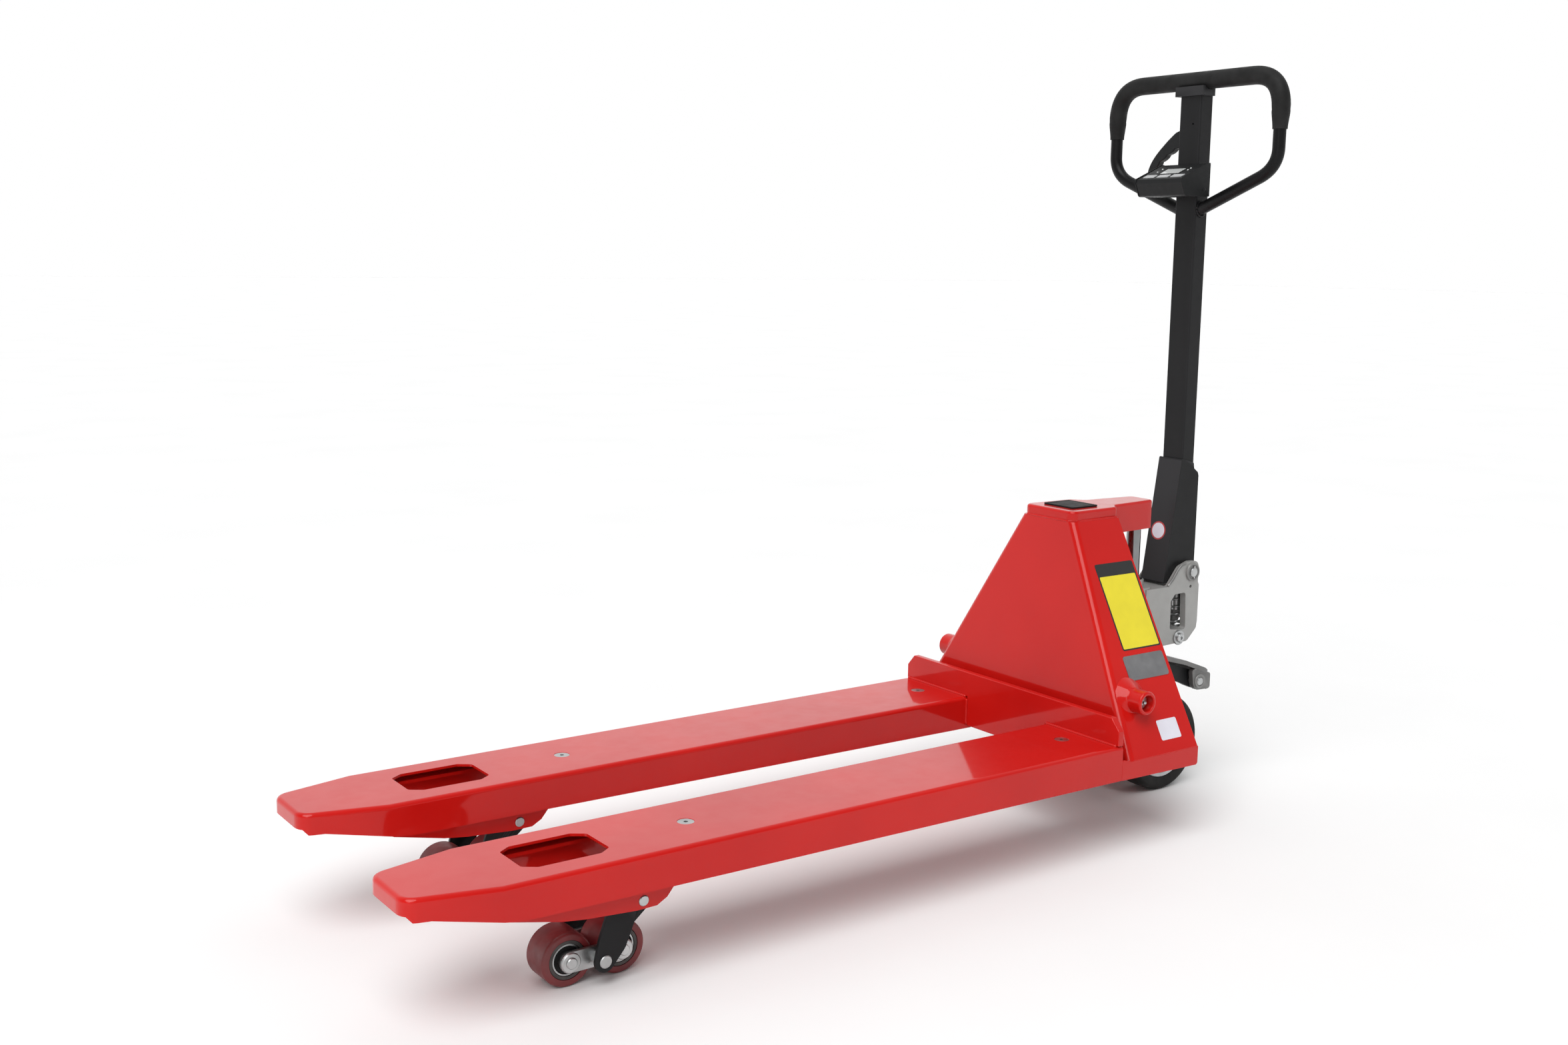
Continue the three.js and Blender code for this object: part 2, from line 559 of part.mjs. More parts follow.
function pumpScrew() {
  const y = PUMP.half + GAP;
  return join(barY(14, -401, 275, y, y + 3, 24), barY(9, -401, 275, y, y + 8, 6));
}

// Release lever at the back of the pump, turning about an axis along Y.
function releaseLever() {
  return link([[RELEASE.x, RELEASE.z, 6], [RELEASE.x - 4, 318, 7], [RELEASE.x - 1, 300, 5]], -7, 7);
}

add("thrust_plate", thrustPlate(), GREY);
add("rocker_pin", barY(THRUST.pinR, THRUST.pinX, THRUST.pinZ, -64, 64), ZINC);
add("thrust_bearing", thrustBearing(), ZINC);
add("pump_body", pumpBody(), GREY);
add("pump_screw", pumpScrew(), ZINC);
add("steering_column", steeringColumn(), GREY);
add("steering_axle", barY(WHEEL.axle, WHEEL.x, WHEEL.r, -74, 74), ZINC);
add("plunger", plunger(), ZINC);
add("plunger_spring", plungerSpring(), ZINC);
add("release_lever", releaseLever(), GREY);
for (const [side, sign] of SIDES) {
  add(`steer_tyre_${side}`, wheelTyre(sign), RUBBER);
  add(`steer_hub_${side}`, wheelHub(sign), ALUMINIUM);
}

// ---------------------------------------------------------------- handle

// Clevis at the foot of the handle: a folded channel that straddles the pump between its ears.
function handleClevis() {
  const { half, inner, top, bottom } = CLEVIS;
  const web = 3.2;
  const rear = -446;
  const foot = -364;
  const profile = (inset) => outline([
    [foot - inset, bottom - inset], [-398 - inset, top + inset], [-431, 603 + inset],
    [-432, 592], [-444, 584], [rear, 580], [rear, 390], [rear + 5, 384], [-428, bottom - inset],
  ]);
  const outside = plateY(profile(0), -half, half);
  const hollow = plateY(outline([
    [foot - web, bottom - 10], [-398 - web, top + 10], [-500, top + 10], [-500, bottom - 10],
  ]), -inner, inner);
  return cut(outside, hollow, barY(PIVOT.r + GAP, PIVOT.x, PIVOT.z, -60, 60),
    barY(4 + GAP, PRESSER.x, PRESSER.z, -60, 60, 16));
}

// Roller in the clevis that presses the plunger down; it sits just above the plunger's head.
function presser() {
  const { x, z, r } = PRESSER;
  return join(barY(r, x, z, 1 - CLEVIS.inner, CLEVIS.inner - 1, 24),
    barY(4, x, z, -CLEVIS.half, CLEVIS.half, 16));
}

// The handle pivots on two stub pins, so that the presser has room between them.
function pivotPin(s) {
  const [y0, y1] = [s * (CLEVIS.inner - 1), s * PIVOT.end].sort((a, b) => a - b);
  return barY(PIVOT.r, PIVOT.x, PIVOT.z, y0, y1);
}

function mast() {
  const { front, rear, half, bottom, top, wall } = MAST;
  const tube = cut(
    plateZ(outline([
      [rear + 3, -half], [front - 3, -half], [front, 3 - half], [front, half - 3],
      [front - 3, half], [rear + 3, half], [rear, half - 3], [rear, 3 - half],
    ]), bottom, top),
    box([rear + wall, front - wall], [wall - half, half - wall], [bottom - 5, top - 20]));
  const saddle = box([rear - 2, front + 8], [-32, 32], [1267, 1284]);
  const slot = box([LOOP.x - TRIGGER.halfX - 0.8, LOOP.x + TRIGGER.halfX + 0.8], [-half - 5, 4 - half],
    [TRIGGER.z - 34, TRIGGER.z + 24]);
  const bed = barY(GRIP.r + 0.5, LOOP.x, LOOP.barZ, -60, 60, 32);
  const pinHole = bar(TRIGGER.pinR + GAP, [-460, TRIGGER.y, TRIGGER.z],
    [-380, TRIGGER.y, TRIGGER.z], 16);
  return cut(join(tube, saddle), bed, slot, pinHole);
}

// Centre line of the closed grip loop, from one side of the mast over the top to the other.
function loopPath(start, end) {
  const { x, half, barZ: barHeight, armZ, cornerZ } = LOOP;
  const point = (y, z) => new THREE.Vector3(x, y, z);
  const lean = (cornerZ - armZ) / (half - start);
  const path = new THREE.CurvePath();
  const line = (a, b) => path.add(new THREE.LineCurve3(a, b));
  const bend = (a, corner, b) => path.add(new THREE.QuadraticBezierCurve3(a, corner, b));
  const low = (s) => point(s * (half - 38), cornerZ - 38 * lean);
  if (end === "arms") {
    line(point(-start, armZ), low(-1));
    bend(low(-1), point(-half, cornerZ), point(-half, cornerZ + 34));
  }
  const sideStart = end === "arms" ? cornerZ + 34 : GRIP.end;
  line(point(-half, sideStart), point(-half, barHeight - 62));
  bend(point(-half, barHeight - 62), point(-half, barHeight), point(62 - half, barHeight));
  line(point(62 - half, barHeight), point(half - 62, barHeight));
  bend(point(half - 62, barHeight), point(half, barHeight), point(half, barHeight - 62));
  line(point(half, barHeight - 62), point(half, sideStart));
  if (end === "arms") {
    bend(point(half, cornerZ + 34), point(half, cornerZ), low(1));
    line(low(1), point(start, armZ));
  }
  return path;
}

function gripLoop() {
  const start = MAST.half + 4;
  const tube = swept(loopPath(start - 8, "arms"), LOOP.r, 56, 5);
  const { front, rear, half } = MAST;
  return cut(tube, box([rear - 10, front + 10], [-half - GAP, half + GAP], [1000, 1150]));
}

function gripSleeve() {
  const outer = swept(loopPath(0, "sides"), GRIP.r, 32, 6);
  return cut(outer, swept(loopPath(MAST.half - 4, "arms"), LOOP.r + GAP, 56, 5));
}

// Sloping top of the indicator: a point at a share of the way from its back edge to its nose.
const slopeStart = new THREE.Vector2(-394, INDICATOR.back);
const slopeEnd = new THREE.Vector2(INDICATOR.noseX - 2, INDICATOR.nose + 1);
const slope = slopeEnd.clone().sub(slopeStart).normalize();
const slopeAngle = Math.atan2(slope.y, slope.x);

// A slab on that slope: its middle at share, sizes along the slope and Y, between two depths.
function onSlope(share, y, length, width, low, high) {
  const at = slopeStart.clone().lerp(slopeEnd, share);
  const geometry = new THREE.BoxGeometry(length, width, high - low).translate(0, 0, (low + high) / 2);
  return solid(geometry.rotateY(-slopeAngle).translate(at.x, y, at.y));
}

const KEYS = [["left", 32], ["middle", 0], ["right", -32]];
const KEY_SIZE = { share: 0.81, length: 13, width: 26 };
const screen = (grow) => onSlope(0.45, 0, 26 + 2 * grow, 46 + 2 * grow, -2.5 - grow, -0.4);
const key = (y, grow) => onSlope(KEY_SIZE.share, y, KEY_SIZE.length + 2 * grow,
  KEY_SIZE.width + 2 * grow, grow ? -3.6 : -2, grow ? 5 : 0.6);

function indicatorHousing() {
  const { half, bottom, back, nose, noseX } = INDICATOR;
  const rear = MAST.front + GAP;
  const body = plateY(outline([
    [rear, bottom], [noseX - 11, bottom], [noseX - 6, bottom + 3], [noseX, nose - 6],
    [noseX - 2, nose + 1], [slopeStart.x, back], [rear, back],
  ]), -half, half);
  const pockets = [screen(GAP), onSlope(0.45, 0, 26 + 2 * GAP, 46 + 2 * GAP, -1, 5),
    ...KEYS.map(([, y]) => key(y, GAP))];
  return cut(body, ...pockets);
}

// Release trigger: a lever through a slot in the mast, with finger grooves in its lower edge.
function trigger() {
  const { y, z, halfX, pinR } = TRIGGER;
  const shape = new THREE.Shape();
  shape.moveTo(y + 9, z - 6);
  shape.quadraticCurveTo(y + 9, z + 12, y - 6, z + 14);
  shape.lineTo(y - 28, z + 9);
  shape.lineTo(y - 56, z - 13);
  shape.quadraticCurveTo(y - 80, z - 33, y - 88, z - 50);
  shape.quadraticCurveTo(y - 96, z - 66, y - 86, z - 68);
  shape.quadraticCurveTo(y - 79, z - 68, y - 77, z - 56);
  shape.quadraticCurveTo(y - 66, z - 52, y - 63, z - 42);
  shape.quadraticCurveTo(y - 50, z - 38, y - 46, z - 30);
  shape.quadraticCurveTo(y - 34, z - 28, y - 28, z - 20);
  shape.lineTo(y, z - 14);
  return cut(plateX(shape, LOOP.x - halfX, LOOP.x + halfX, 1.5),
    bar(pinR + GAP, [-460, y, z], [-380, y, z], 16));
}

function triggerPin() {
  const { y, z, pinR } = TRIGGER;
  return bar(pinR, [MAST.rear - 1, y, z], [MAST.front + GAP / 2, y, z], 16);
}

add("handle_clevis", handleClevis(), BLACK);
for (const [side, sign] of SIDES) add(`handle_pin_${side}`, pivotPin(sign), ZINC);
add("presser_roller", presser(), ZINC);
add("mast", mast(), BLACK);
add("grip_loop", gripLoop(), BLACK);
add("grip_sleeve", gripSleeve(), RUBBER);
add("indicator_housing", indicatorHousing(), BLACK);
add("indicator_screen", screen(0), SCREEN);
for (const [name, y] of KEYS) add(`indicator_key_${name}`, key(y, 0), KEY);
add("release_trigger", trigger(), BLACK);
add("trigger_pin", triggerPin(), ZINC);

export default truck;
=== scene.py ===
# Looks of a weighing hand pallet truck with its forks raised, built round its CAD frame.
# Shapes are worked out in millimetres from the heel plate's front face, the floor and the centre plane.
import json
import math

import bmesh
import bpy
from mathutils import Matrix, Vector


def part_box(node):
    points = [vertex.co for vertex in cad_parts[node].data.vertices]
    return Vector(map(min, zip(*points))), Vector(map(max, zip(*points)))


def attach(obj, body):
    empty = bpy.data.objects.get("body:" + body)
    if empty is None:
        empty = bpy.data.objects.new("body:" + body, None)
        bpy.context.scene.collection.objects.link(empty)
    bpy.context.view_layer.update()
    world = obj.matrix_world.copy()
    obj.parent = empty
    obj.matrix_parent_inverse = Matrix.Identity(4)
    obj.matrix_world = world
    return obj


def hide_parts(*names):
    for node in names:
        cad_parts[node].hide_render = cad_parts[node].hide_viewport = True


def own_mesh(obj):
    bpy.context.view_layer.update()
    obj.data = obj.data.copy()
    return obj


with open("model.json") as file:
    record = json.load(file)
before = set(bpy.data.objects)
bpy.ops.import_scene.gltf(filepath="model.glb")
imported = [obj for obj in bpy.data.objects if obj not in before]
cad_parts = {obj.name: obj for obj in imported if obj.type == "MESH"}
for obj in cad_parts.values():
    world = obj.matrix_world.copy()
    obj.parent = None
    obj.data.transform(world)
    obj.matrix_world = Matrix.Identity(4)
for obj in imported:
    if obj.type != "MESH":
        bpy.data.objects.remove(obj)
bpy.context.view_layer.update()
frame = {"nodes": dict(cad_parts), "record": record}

MM = 0.001
TO_ROW = Matrix.Translation((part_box("heel_plate")[1].x, 0, 0)) @ Matrix.Scale(MM, 4)
TO_MM = TO_ROW.inverted()
SIDES = (("left", 1), ("right", -1))
ENDS = ("rear", "front")
ACROSS = Vector((0, 1, 0))

scene = bpy.context.scene
scene.view_settings.view_transform = "Standard"


def span(node):
    """Lowest and highest corner of a CAD node, in millimetres."""
    low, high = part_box(node)
    return TO_MM @ low, TO_MM @ high


def middle(node):
    low, high = span(node)
    return (low + high) / 2


# ---------------------------------------------------------------- materials

class Nodes:
    """A node tree under construction, with the few kinds of node that the looks need."""

    def __init__(self, owner):
        owner.use_nodes = True
        self.tree = owner.node_tree
        self.coordinates = self.add("ShaderNodeTexCoord")

    def add(self, kind, **inputs):
        """A new node; an input such as from_min sets its From Min."""
        node = self.tree.nodes.new(kind)
        for key, value in inputs.items():
            node.inputs[key.replace("_", " ").title()].default_value = value
        return node

    def link(self, source, target):
        self.tree.links.new(source, target)

    def between(self, factor, low, high, start=0.3, stop=0.7):
        """The factor from start to stop, as a number from low to high."""
        node = self.add("ShaderNodeMapRange", from_min=start, from_max=stop, to_min=low, to_max=high)
        self.link(factor, node.inputs["Value"])
        return node.outputs["Result"]


class Look(Nodes):
    """A procedural material under construction, on a Principled shader."""

    def __init__(self, name, **inputs):
        self.material = bpy.data.materials.new(name)
        super().__init__(self.material)
        self.shader = self.tree.nodes["Principled BSDF"]
        self.normal = None
        for key, value in inputs.items():
            self.input(key).default_value = value

    def input(self, key):
        """A shader input; base_color stands for Base Color."""
        return self.shader.inputs[key.replace("_", " ").title().replace("Ior", "IOR")]

    def noise(self, scale, detail=2.0, stretch=(1, 1, 1)):
        mapping = self.add("ShaderNodeMapping", scale=stretch)
        self.link(self.coordinates.outputs["Object"], mapping.inputs["Vector"])
        node = self.add("ShaderNodeTexNoise", scale=scale, detail=detail)
        self.link(mapping.outputs["Vector"], node.inputs["Vector"])
        return node.outputs["Fac"]

    def cells(self, scale):
        node = self.add("ShaderNodeTexVoronoi", scale=scale)
        self.link(self.coordinates.outputs["Object"], node.inputs["Vector"])
        return node.outputs["Distance"]

    def mix(self, factor, first, second):
        """A colour from first to second."""
        node = self.add("ShaderNodeMix")
        node.data_type = "RGBA"
        self.link(factor, node.inputs["Factor"])
        for key, value in (("A", first), ("B", second)):
            socket = [s for s in node.inputs if s.name == key and s.type == "RGBA"][0]
            if isinstance(value, tuple):
                socket.default_value = (*value, 1)
            else:
                self.link(value, socket)
        return [s for s in node.outputs if s.type == "RGBA"][0]

    def edges(self):
        """1 along outer edges and 0 on flat stretches: the mask of a painted edge highlight."""
        pointed = self.add("ShaderNodeNewGeometry").outputs["Pointiness"]
        return self.between(pointed, 0, 1, 0.52, 0.62)

    def bump(self, height, strength, distance):
        node = self.add("ShaderNodeBump", strength=strength, distance=distance)
        self.link(height, node.inputs["Height"])
        if self.normal:
            self.link(self.normal, node.inputs["Normal"])
        self.normal = node.outputs["Normal"]
        self.link(self.normal, self.input("normal"))


def material(name, first, second, drift, rough, bumps, start=0.3, stop=0.7, edge=None, dust=None, **inputs):
    """A material whose colour drifts from first to second with a noise, drift = (scale, detail).

    rough is (low, high, scale, detail), and each bump is (noise's arguments, strength, distance).
    edge is the colour of a painted highlight along sharp outer edges, and dust the colour of worn patches.
    """
    look = Look(name, **inputs)
    tone = look.mix(look.between(look.noise(*drift), 0, 1, start, stop), first, second)
    if edge:
        # Painted highlight: the edge colour laid along sharp outer edges.
        tone = look.mix(look.edges(), tone, edge)
    if dust:
        tone = look.mix(look.between(look.noise(9, 6), 0, 0.5, 0.5, 0.8), tone, dust)
    look.link(tone, look.input("base_color"))
    low, high, *scale = rough
    look.link(look.between(look.noise(*scale), low, high), look.input("roughness"))
    for noise, strength, distance in bumps:
        look.bump(look.noise(*noise), strength, distance)
    return look


def plastic(name, tone, roughness):
    """Moulded plastic with a spark-eroded grain."""
    look = material(name, tone, tuple(value * 1.25 for value in tone), (40, 3),
                    (roughness, roughness + 0.12, 90, 3), [], specular_ior_level=0.25)
    look.bump(look.cells(1500), 0.22, 0.0002)
    return look


def rubber(name, tone, roughness, grain):
    """Matt rubber with a fine grain and paler scuffs."""
    scuffed = tuple(value * 1.7 + 0.004 for value in tone)
    return material(name, tone, scuffed, (22, 5), (roughness, roughness + 0.18, 60, 3),
                    [((grain, 3), 0.25, 0.0004)], 0.45, 0.75, specular_ior_level=0.2)


def metal(name, dull, bright, roughness, stretch=(1, 1, 1)):
    """Bare or plated metal: cloudy tone and fine lines across the stretched axis."""
    return material(name, dull, bright, (28, 5), (roughness, roughness + 0.16, 50, 5),
                    [((240, 4, stretch), 0.16, 0.0002)], metallic=1.0)


def printed_film(name, tone):
    """Printed sticker film: even ink with slight drift and a soft sheen."""
    return material(name, tuple(value * 0.93 for value in tone), tone, (35, 3), (0.3, 0.42, 120, 3),
                    [((500, 2), 0.05, 0.0002)], coat_weight=0.4, coat_roughness=0.15)


def display_glass():
    """Grey liquid-crystal glass with a faint dot grid under a clear front."""
    look = Look("display_glass", coat_weight=1.0, coat_roughness=0.04, roughness=0.35)
    dots = look.between(look.cells(900), 0, 1, 0.2, 0.6)
    look.link(look.mix(dots, (0.55, 0.57, 0.56), (0.66, 0.68, 0.67)), look.input("base_color"))
    return look


LOOKS = {
    # Sprayed paint: slow colour drift, orange peel and a clear gloss.
    "red_paint": material(
        "red_gloss_paint", (0.50, 0.0055, 0.004), (0.58, 0.009, 0.006), (4,), (0.3, 0.4, 30, 3),
        [((160, 1), 0.03, 0.0006), ((900, 2), 0.015, 0.0002)],
        coat_weight=0.85, coat_roughness=0.06, coat_ior=1.38, specular_ior_level=0.06),
    "zinc_plate": metal("zinc_plate", (0.40, 0.41, 0.41), (0.58, 0.59, 0.59), 0.26),
    # Satin powder coat with a fine even texture, and a paler painted highlight along its sharp edges.
    "black_coat": material(
        "black_powder_coat", (0.003, 0.003, 0.0033), (0.0055, 0.0055, 0.006), (6,), (0.34, 0.46, 45, 3),
        [((1300, 2), 0.18, 0.0003), ((260, 1), 0.08, 0.0005)], edge=(0.03, 0.03, 0.032),
        specular_ior_level=0.18),
    "black_plastic": plastic("black_moulding", (0.0075, 0.008, 0.0085), 0.42),
    "black_rubber": rubber("grip_rubber", (0.010, 0.010, 0.010), 0.5, 1400),
    "tyre_rubber": rubber("tyre_rubber", (0.014, 0.0135, 0.013), 0.6, 500),
    # Dark red cast tread, slightly waxy, dusty where it has rolled.
    "roller_tread": material(
        "red_polyurethane", (0.115, 0.006, 0.008), (0.19, 0.012, 0.014), (30, 4), (0.38, 0.6, 80, 4),
        [((700, 3), 0.2, 0.0003)], dust=(0.20, 0.09, 0.085), coat_weight=0.2, coat_roughness=0.35,
        subsurface_weight=0.08, subsurface_scale=0.004),
    # Dark machined hub core with fine turning marks.
    "roller_hub": material(
        "dark_iron_hub", (0.055, 0.05, 0.048), (0.12, 0.11, 0.105), (40, 5), (0.42, 0.62, 90, 4),
        [((500, 4, (1, 0.1, 1)), 0.3, 0.0003)], metallic=0.6),
    # Grey painted casting: sand grain, soft lumps and a brighter painted highlight along its edges.
    "cast_grey": material(
        "grey_cast_paint", (0.13, 0.13, 0.128), (0.19, 0.19, 0.186), (14, 4), (0.36, 0.56, 70, 4),
        [((420, 4), 0.3, 0.0006), ((60, 2), 0.15, 0.0015)], edge=(0.36, 0.36, 0.35), metallic=0.35),
    "wheel_hub": metal("cast_aluminium", (0.42, 0.43, 0.44), (0.58, 0.59, 0.60), 0.34),
    "chrome_rod": metal("hard_chrome", (0.20, 0.205, 0.21), (0.27, 0.275, 0.28), 0.12, (1, 1, 0.05)),
    "screen": display_glass(),
    "key_grey": plastic("key_grey", (0.40, 0.405, 0.41), 0.4),
}
LABEL_YELLOW = printed_film("label_yellow", (0.80, 0.68, 0.02))
LABEL_BLACK = printed_film("label_black", (0.012, 0.012, 0.012))
LABEL_WHITE = printed_film("label_white", (0.75, 0.74, 0.82))
LABEL_RED = printed_film("label_red", (0.45, 0.015, 0.02))
LABEL_METAL = metal("label_brushed_metal", (0.30, 0.30, 0.31), (0.42, 0.42, 0.43), 0.34, (0.05, 1, 1))
DARK_SEAL = rubber("dark_seal", (0.008, 0.008, 0.008), 0.45, 900)


# ---------------------------------------------------------------- mesh code

def arc_between(start, stop, centre, steps):
    """Points on the shorter arc round centre from start to stop."""
    first = math.atan2(start.y - centre.y, start.x - centre.x)
    last = math.atan2(stop.y - centre.y, stop.x - centre.x)
    sweep = (last - first + math.pi) % (2 * math.pi) - math.pi
    radius = (start - centre).length
    turns = [first + sweep * i / steps for i in range(steps + 1)]
    return [centre + radius * Vector((math.cos(t), math.sin(t))) for t in turns]


def rounded(corners, radius=0.0, steps=5):
    """A polygon whose corners (a, b) or (a, b, radius) are turned into arcs."""
    outline = []
    for i, corner in enumerate(corners):
        here = Vector(corner[:2])
        own = corner[2] if len(corner) > 2 else radius
        back = Vector(corners[i - 1][:2]) - here
        ahead = Vector(corners[(i + 1) % len(corners)][:2]) - here
        half = back.angle(ahead) / 2
        if own <= 0 or half > math.radians(88):
            outline.append(here)
            continue
        reach = min(own / math.tan(half), 0.48 * back.length, 0.48 * ahead.length)
        centre = here + (back.normalized() + ahead.normalized()).normalized() * reach / math.cos(half)
        outline += arc_between(here + back.normalized() * reach, here + ahead.normalized() * reach,
                               centre, steps)
    return [tuple(point) for point in outline]


def rectangle(a, b, radius=0.0):
    """A rounded rectangle between two values on each axis."""
    return rounded([(a[0], b[0]), (a[1], b[0]), (a[1], b[1]), (a[0], b[1])], radius)


def bezier(start, corner, stop, steps):
    """Points on a quadratic curve, without its first point."""
    start, corner, stop = Vector(start), Vector(corner), Vector(stop)
    share = [i / steps for i in range(1, steps + 1)]
    return [start * (1 - t) ** 2 + corner * 2 * t * (1 - t) + stop * t * t for t in share]


def along(path, steps):
    """Evenly spaced points on a polyline."""
    path = [Vector(point) for point in path]
    lengths = [(b - a).length for a, b in zip(path, path[1:])]
    total = sum(lengths)
    points = []
    for i in range(steps + 1):
        rest = total * i / steps
        k = 0
        while k < len(lengths) - 1 and rest > lengths[k]:
            rest -= lengths[k]
            k += 1
        points.append(path[k].lerp(path[k + 1], min(1, rest / lengths[k])))
    return points


def around(discs, steps=40):
    """Convex outline round discs (x, z, radius)."""
    outline = []
    for i in range(steps):
        turn = 2 * math.pi * i / steps
        ray = Vector((math.cos(turn), math.sin(turn)))
        x, z, radius = max(discs, key=lambda disc: disc[0] * ray.x + disc[1] * ray.y + disc[2])
        point = (x + radius * ray.x, z + radius * ray.y)
        if not outline or math.dist(point, outline[-1]) > 0.05:
            outline.append(point)
    return outline


def stadium(ends, z, radius, steps=12):
    """Outline of a bar with round ends."""
    outline = []
    for centre, start in ((ends[1], -math.pi / 2), (ends[0], math.pi / 2)):
        turns = [start + math.pi * i / steps for i in range(steps + 1)]
        outline += [(centre + radius * math.cos(t), z + radius * math.sin(t)) for t in turns]
    return outline


def hexagon(x, y, across):
    """Corners of a hexagon with that width across its flats."""
    radius = across / math.sqrt(3)
    turns = [math.pi * k / 3 for k in range(6)]
    return [(x + radius * math.cos(t), y + radius * math.sin(t)) for t in turns]


def outward(bm):
    """Turns every face outward."""
    bmesh.ops.recalc_face_normals(bm, faces=bm.faces)
    return bm


PLACES = {
    "x": lambda a, b, h: (h, a, b),
    "y": lambda a, b, h: (a, h, b),
    "z": lambda a, b, h: (a, b, h),
}


def prism(outline, axis, low, high):
    """An outline given thickness along an axis, from low to high."""
    bm = bmesh.new()
    rings = [[bm.verts.new(PLACES[axis](a, b, h)) for a, b in outline] for h in (low, high)]
    for ring in rings:
        bm.faces.new(ring)
    for i, corner in enumerate(rings[0]):
        bm.faces.new((rings[0][i - 1], corner, rings[1][i], rings[1][i - 1]))
    return outward(bm)


def block(x, y, z):
    """A box between two values on each axis."""
    return prism(rectangle(x, y), "z", *z)


def tile(length, width, low, high, corner=1.2):
    """A flat rounded plate round the origin, between two heights."""
    return prism(rectangle((-length / 2, length / 2), (-width / 2, width / 2), corner), "z", low, high)


def skin(bm, rings, closed):
    """Joins rings of vertices, one after the other, with faces."""
    pairs = zip(rings, rings[1:] + rings[:1]) if closed else zip(rings, rings[1:])
    for lower, upper in pairs:
        for i in range(max(len(lower), len(upper))):
            loop = [lower[i % len(lower)], lower[(i + 1) % len(lower)],
                    upper[(i + 1) % len(upper)], upper[i % len(upper)]]
            bm.faces.new(list(dict.fromkeys(loop)))


def lathe(profile, centre, axis="y", segments=48, closed=False):
    """A turned piece: profile is (radius, place along the axis) pairs, round an axis through centre."""
    bm = bmesh.new()
    rings = []
    for radius, place in profile:
        turns = [2 * math.pi * i / segments for i in range(segments if radius > 1e-6 else 1)]
        rings.append([bm.verts.new(Vector(centre) + Vector(PLACES[axis](
            radius * math.cos(t), radius * math.sin(t), place))) for t in turns])
    skin(bm, rings, closed)
    return outward(bm)


def turned(profile, at, face=0, sign=1, segments=48, closed=False):
    """A piece turned along Y at (x, z): profile runs outward from a face, on the side of sign."""
    moved = [(radius, face + sign * out) for radius, out in profile]
    return lathe(moved, (at[0], 0, at[1]), "y", segments, closed)


def drill(radius, low, high, centre, axis="y", segments=48):
    """A plain cylinder, to cut a hole with."""
    return lathe([(0, low), (radius, low), (radius, high), (0, high)], centre, axis, segments)


def rod(radius, low, high, centre, chamfer=0.6, axis="y", segments=40):
    """A straight pin with chamfered ends."""
    profile = [(0, low), (radius - chamfer, low), (radius, low + chamfer),
               (radius, high - chamfer), (radius - chamfer, high), (0, high)]
    return lathe(profile, centre, axis, segments)


def tube(path, radii, sides):
    """A round bar along a path, with a radius for each point."""
    bm = bmesh.new()
    rings = []
    ahead = (path[1] - path[0]).normalized()
    across = ahead.orthogonal().normalized()
    for i, point in enumerate(path):
        new = (path[min(i + 1, len(path) - 1)] - path[max(i - 1, 0)]).normalized()
        across = (ahead.rotation_difference(new) @ across).normalized()
        ahead = new
        up = ahead.cross(across)
        turns = [2 * math.pi * k / sides for k in range(sides)]
        rings.append([bm.verts.new(point + radii[i] * (math.cos(t) * across + math.sin(t) * up))
                      for t in turns])
    skin(bm, rings, False)
    bm.faces.new(rings[0])
    bm.faces.new(rings[-1])
    return outward(bm)


def made(name, bm, look=None):
    """A Blender object from a mesh under construction."""
    mesh = bpy.data.meshes.new(name)
    bm.to_mesh(mesh)
    bm.free()
    if look:
        mesh.materials.append(look.material)
    obj = bpy.data.objects.new(name, mesh)
    scene.collection.objects.link(obj)
    return obj


def combined(base, tools, operation):
    """The base with each tool joined (UNION), cut away (DIFFERENCE) or kept in common (INTERSECT)."""
    for tool in tools:
        work, helper = made("work", base), made("work", tool)
        modifier = work.modifiers.new("combine", "BOOLEAN")
        modifier.object = helper
        modifier.operation = operation
        modifier.solver = "EXACT"
        result = work.evaluated_get(bpy.context.evaluated_depsgraph_get()).to_mesh()
        base = bmesh.new()
        base.from_mesh(result)
        for obj in (work, helper):
            mesh = obj.data
            bpy.data.objects.remove(obj)
            bpy.data.meshes.remove(mesh)
    return base


def join(base, *tools):
    return combined(base, tools, "UNION")


def cut(base, *tools):
    return combined(base, tools, "DIFFERENCE")


def bevel(bm, width, segments, chosen):
    """Rounds the edges that chosen(edge) picks."""
    edges = [edge for edge in bm.edges if chosen(edge)]
    bmesh.ops.bevel(bm, geom=edges, offset=width, offset_type="OFFSET", segments=segments,
                    profile=0.5, affect="EDGES", clamp_overlap=True)
    return bm


def at_value(edge, axis, value):
    """Whether both ends of an edge lie at that value on an axis."""
    return all(abs(getattr(v.co, axis) - value) < 0.01 for v in edge.verts)


def soften(bm, width=0.8, segments=2, sharper=32):
    """Rounds every edge sharper than an angle in degrees."""
    bmesh.ops.remove_doubles(bm, verts=bm.verts, dist=0.02)
    bmesh.ops.dissolve_limit(bm, angle_limit=math.radians(0.8), verts=bm.verts, edges=bm.edges)
    limit = math.radians(sharper)
    return bevel(bm, width, segments,
                 lambda edge: len(edge.link_faces) == 2 and edge.calc_face_angle() > limit)


def shaded(obj, angle):
    """Smooth shading, but for edges sharper than an angle in degrees."""
    obj.data.shade_smooth()
    obj.data.set_sharp_from_angle(angle=math.radians(angle))


def even_normals(obj):
    normals = obj.modifiers.new("even_normals", "WEIGHTED_NORMAL")
    normals.keep_sharp = True


def piece(name, bm, look, body, *stands_for, slot=None, smooth=38):
    """A finished piece in the row frame; look is a slot's name, or a look; slot is not used."""
    outward(bm).transform(TO_ROW)
    obj = made(name, bm, LOOKS[look] if isinstance(look, str) else look)
    shaded(obj, smooth)
    even_normals(obj)
    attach(obj, body)
    if stands_for:
        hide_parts(*stands_for)
    return obj


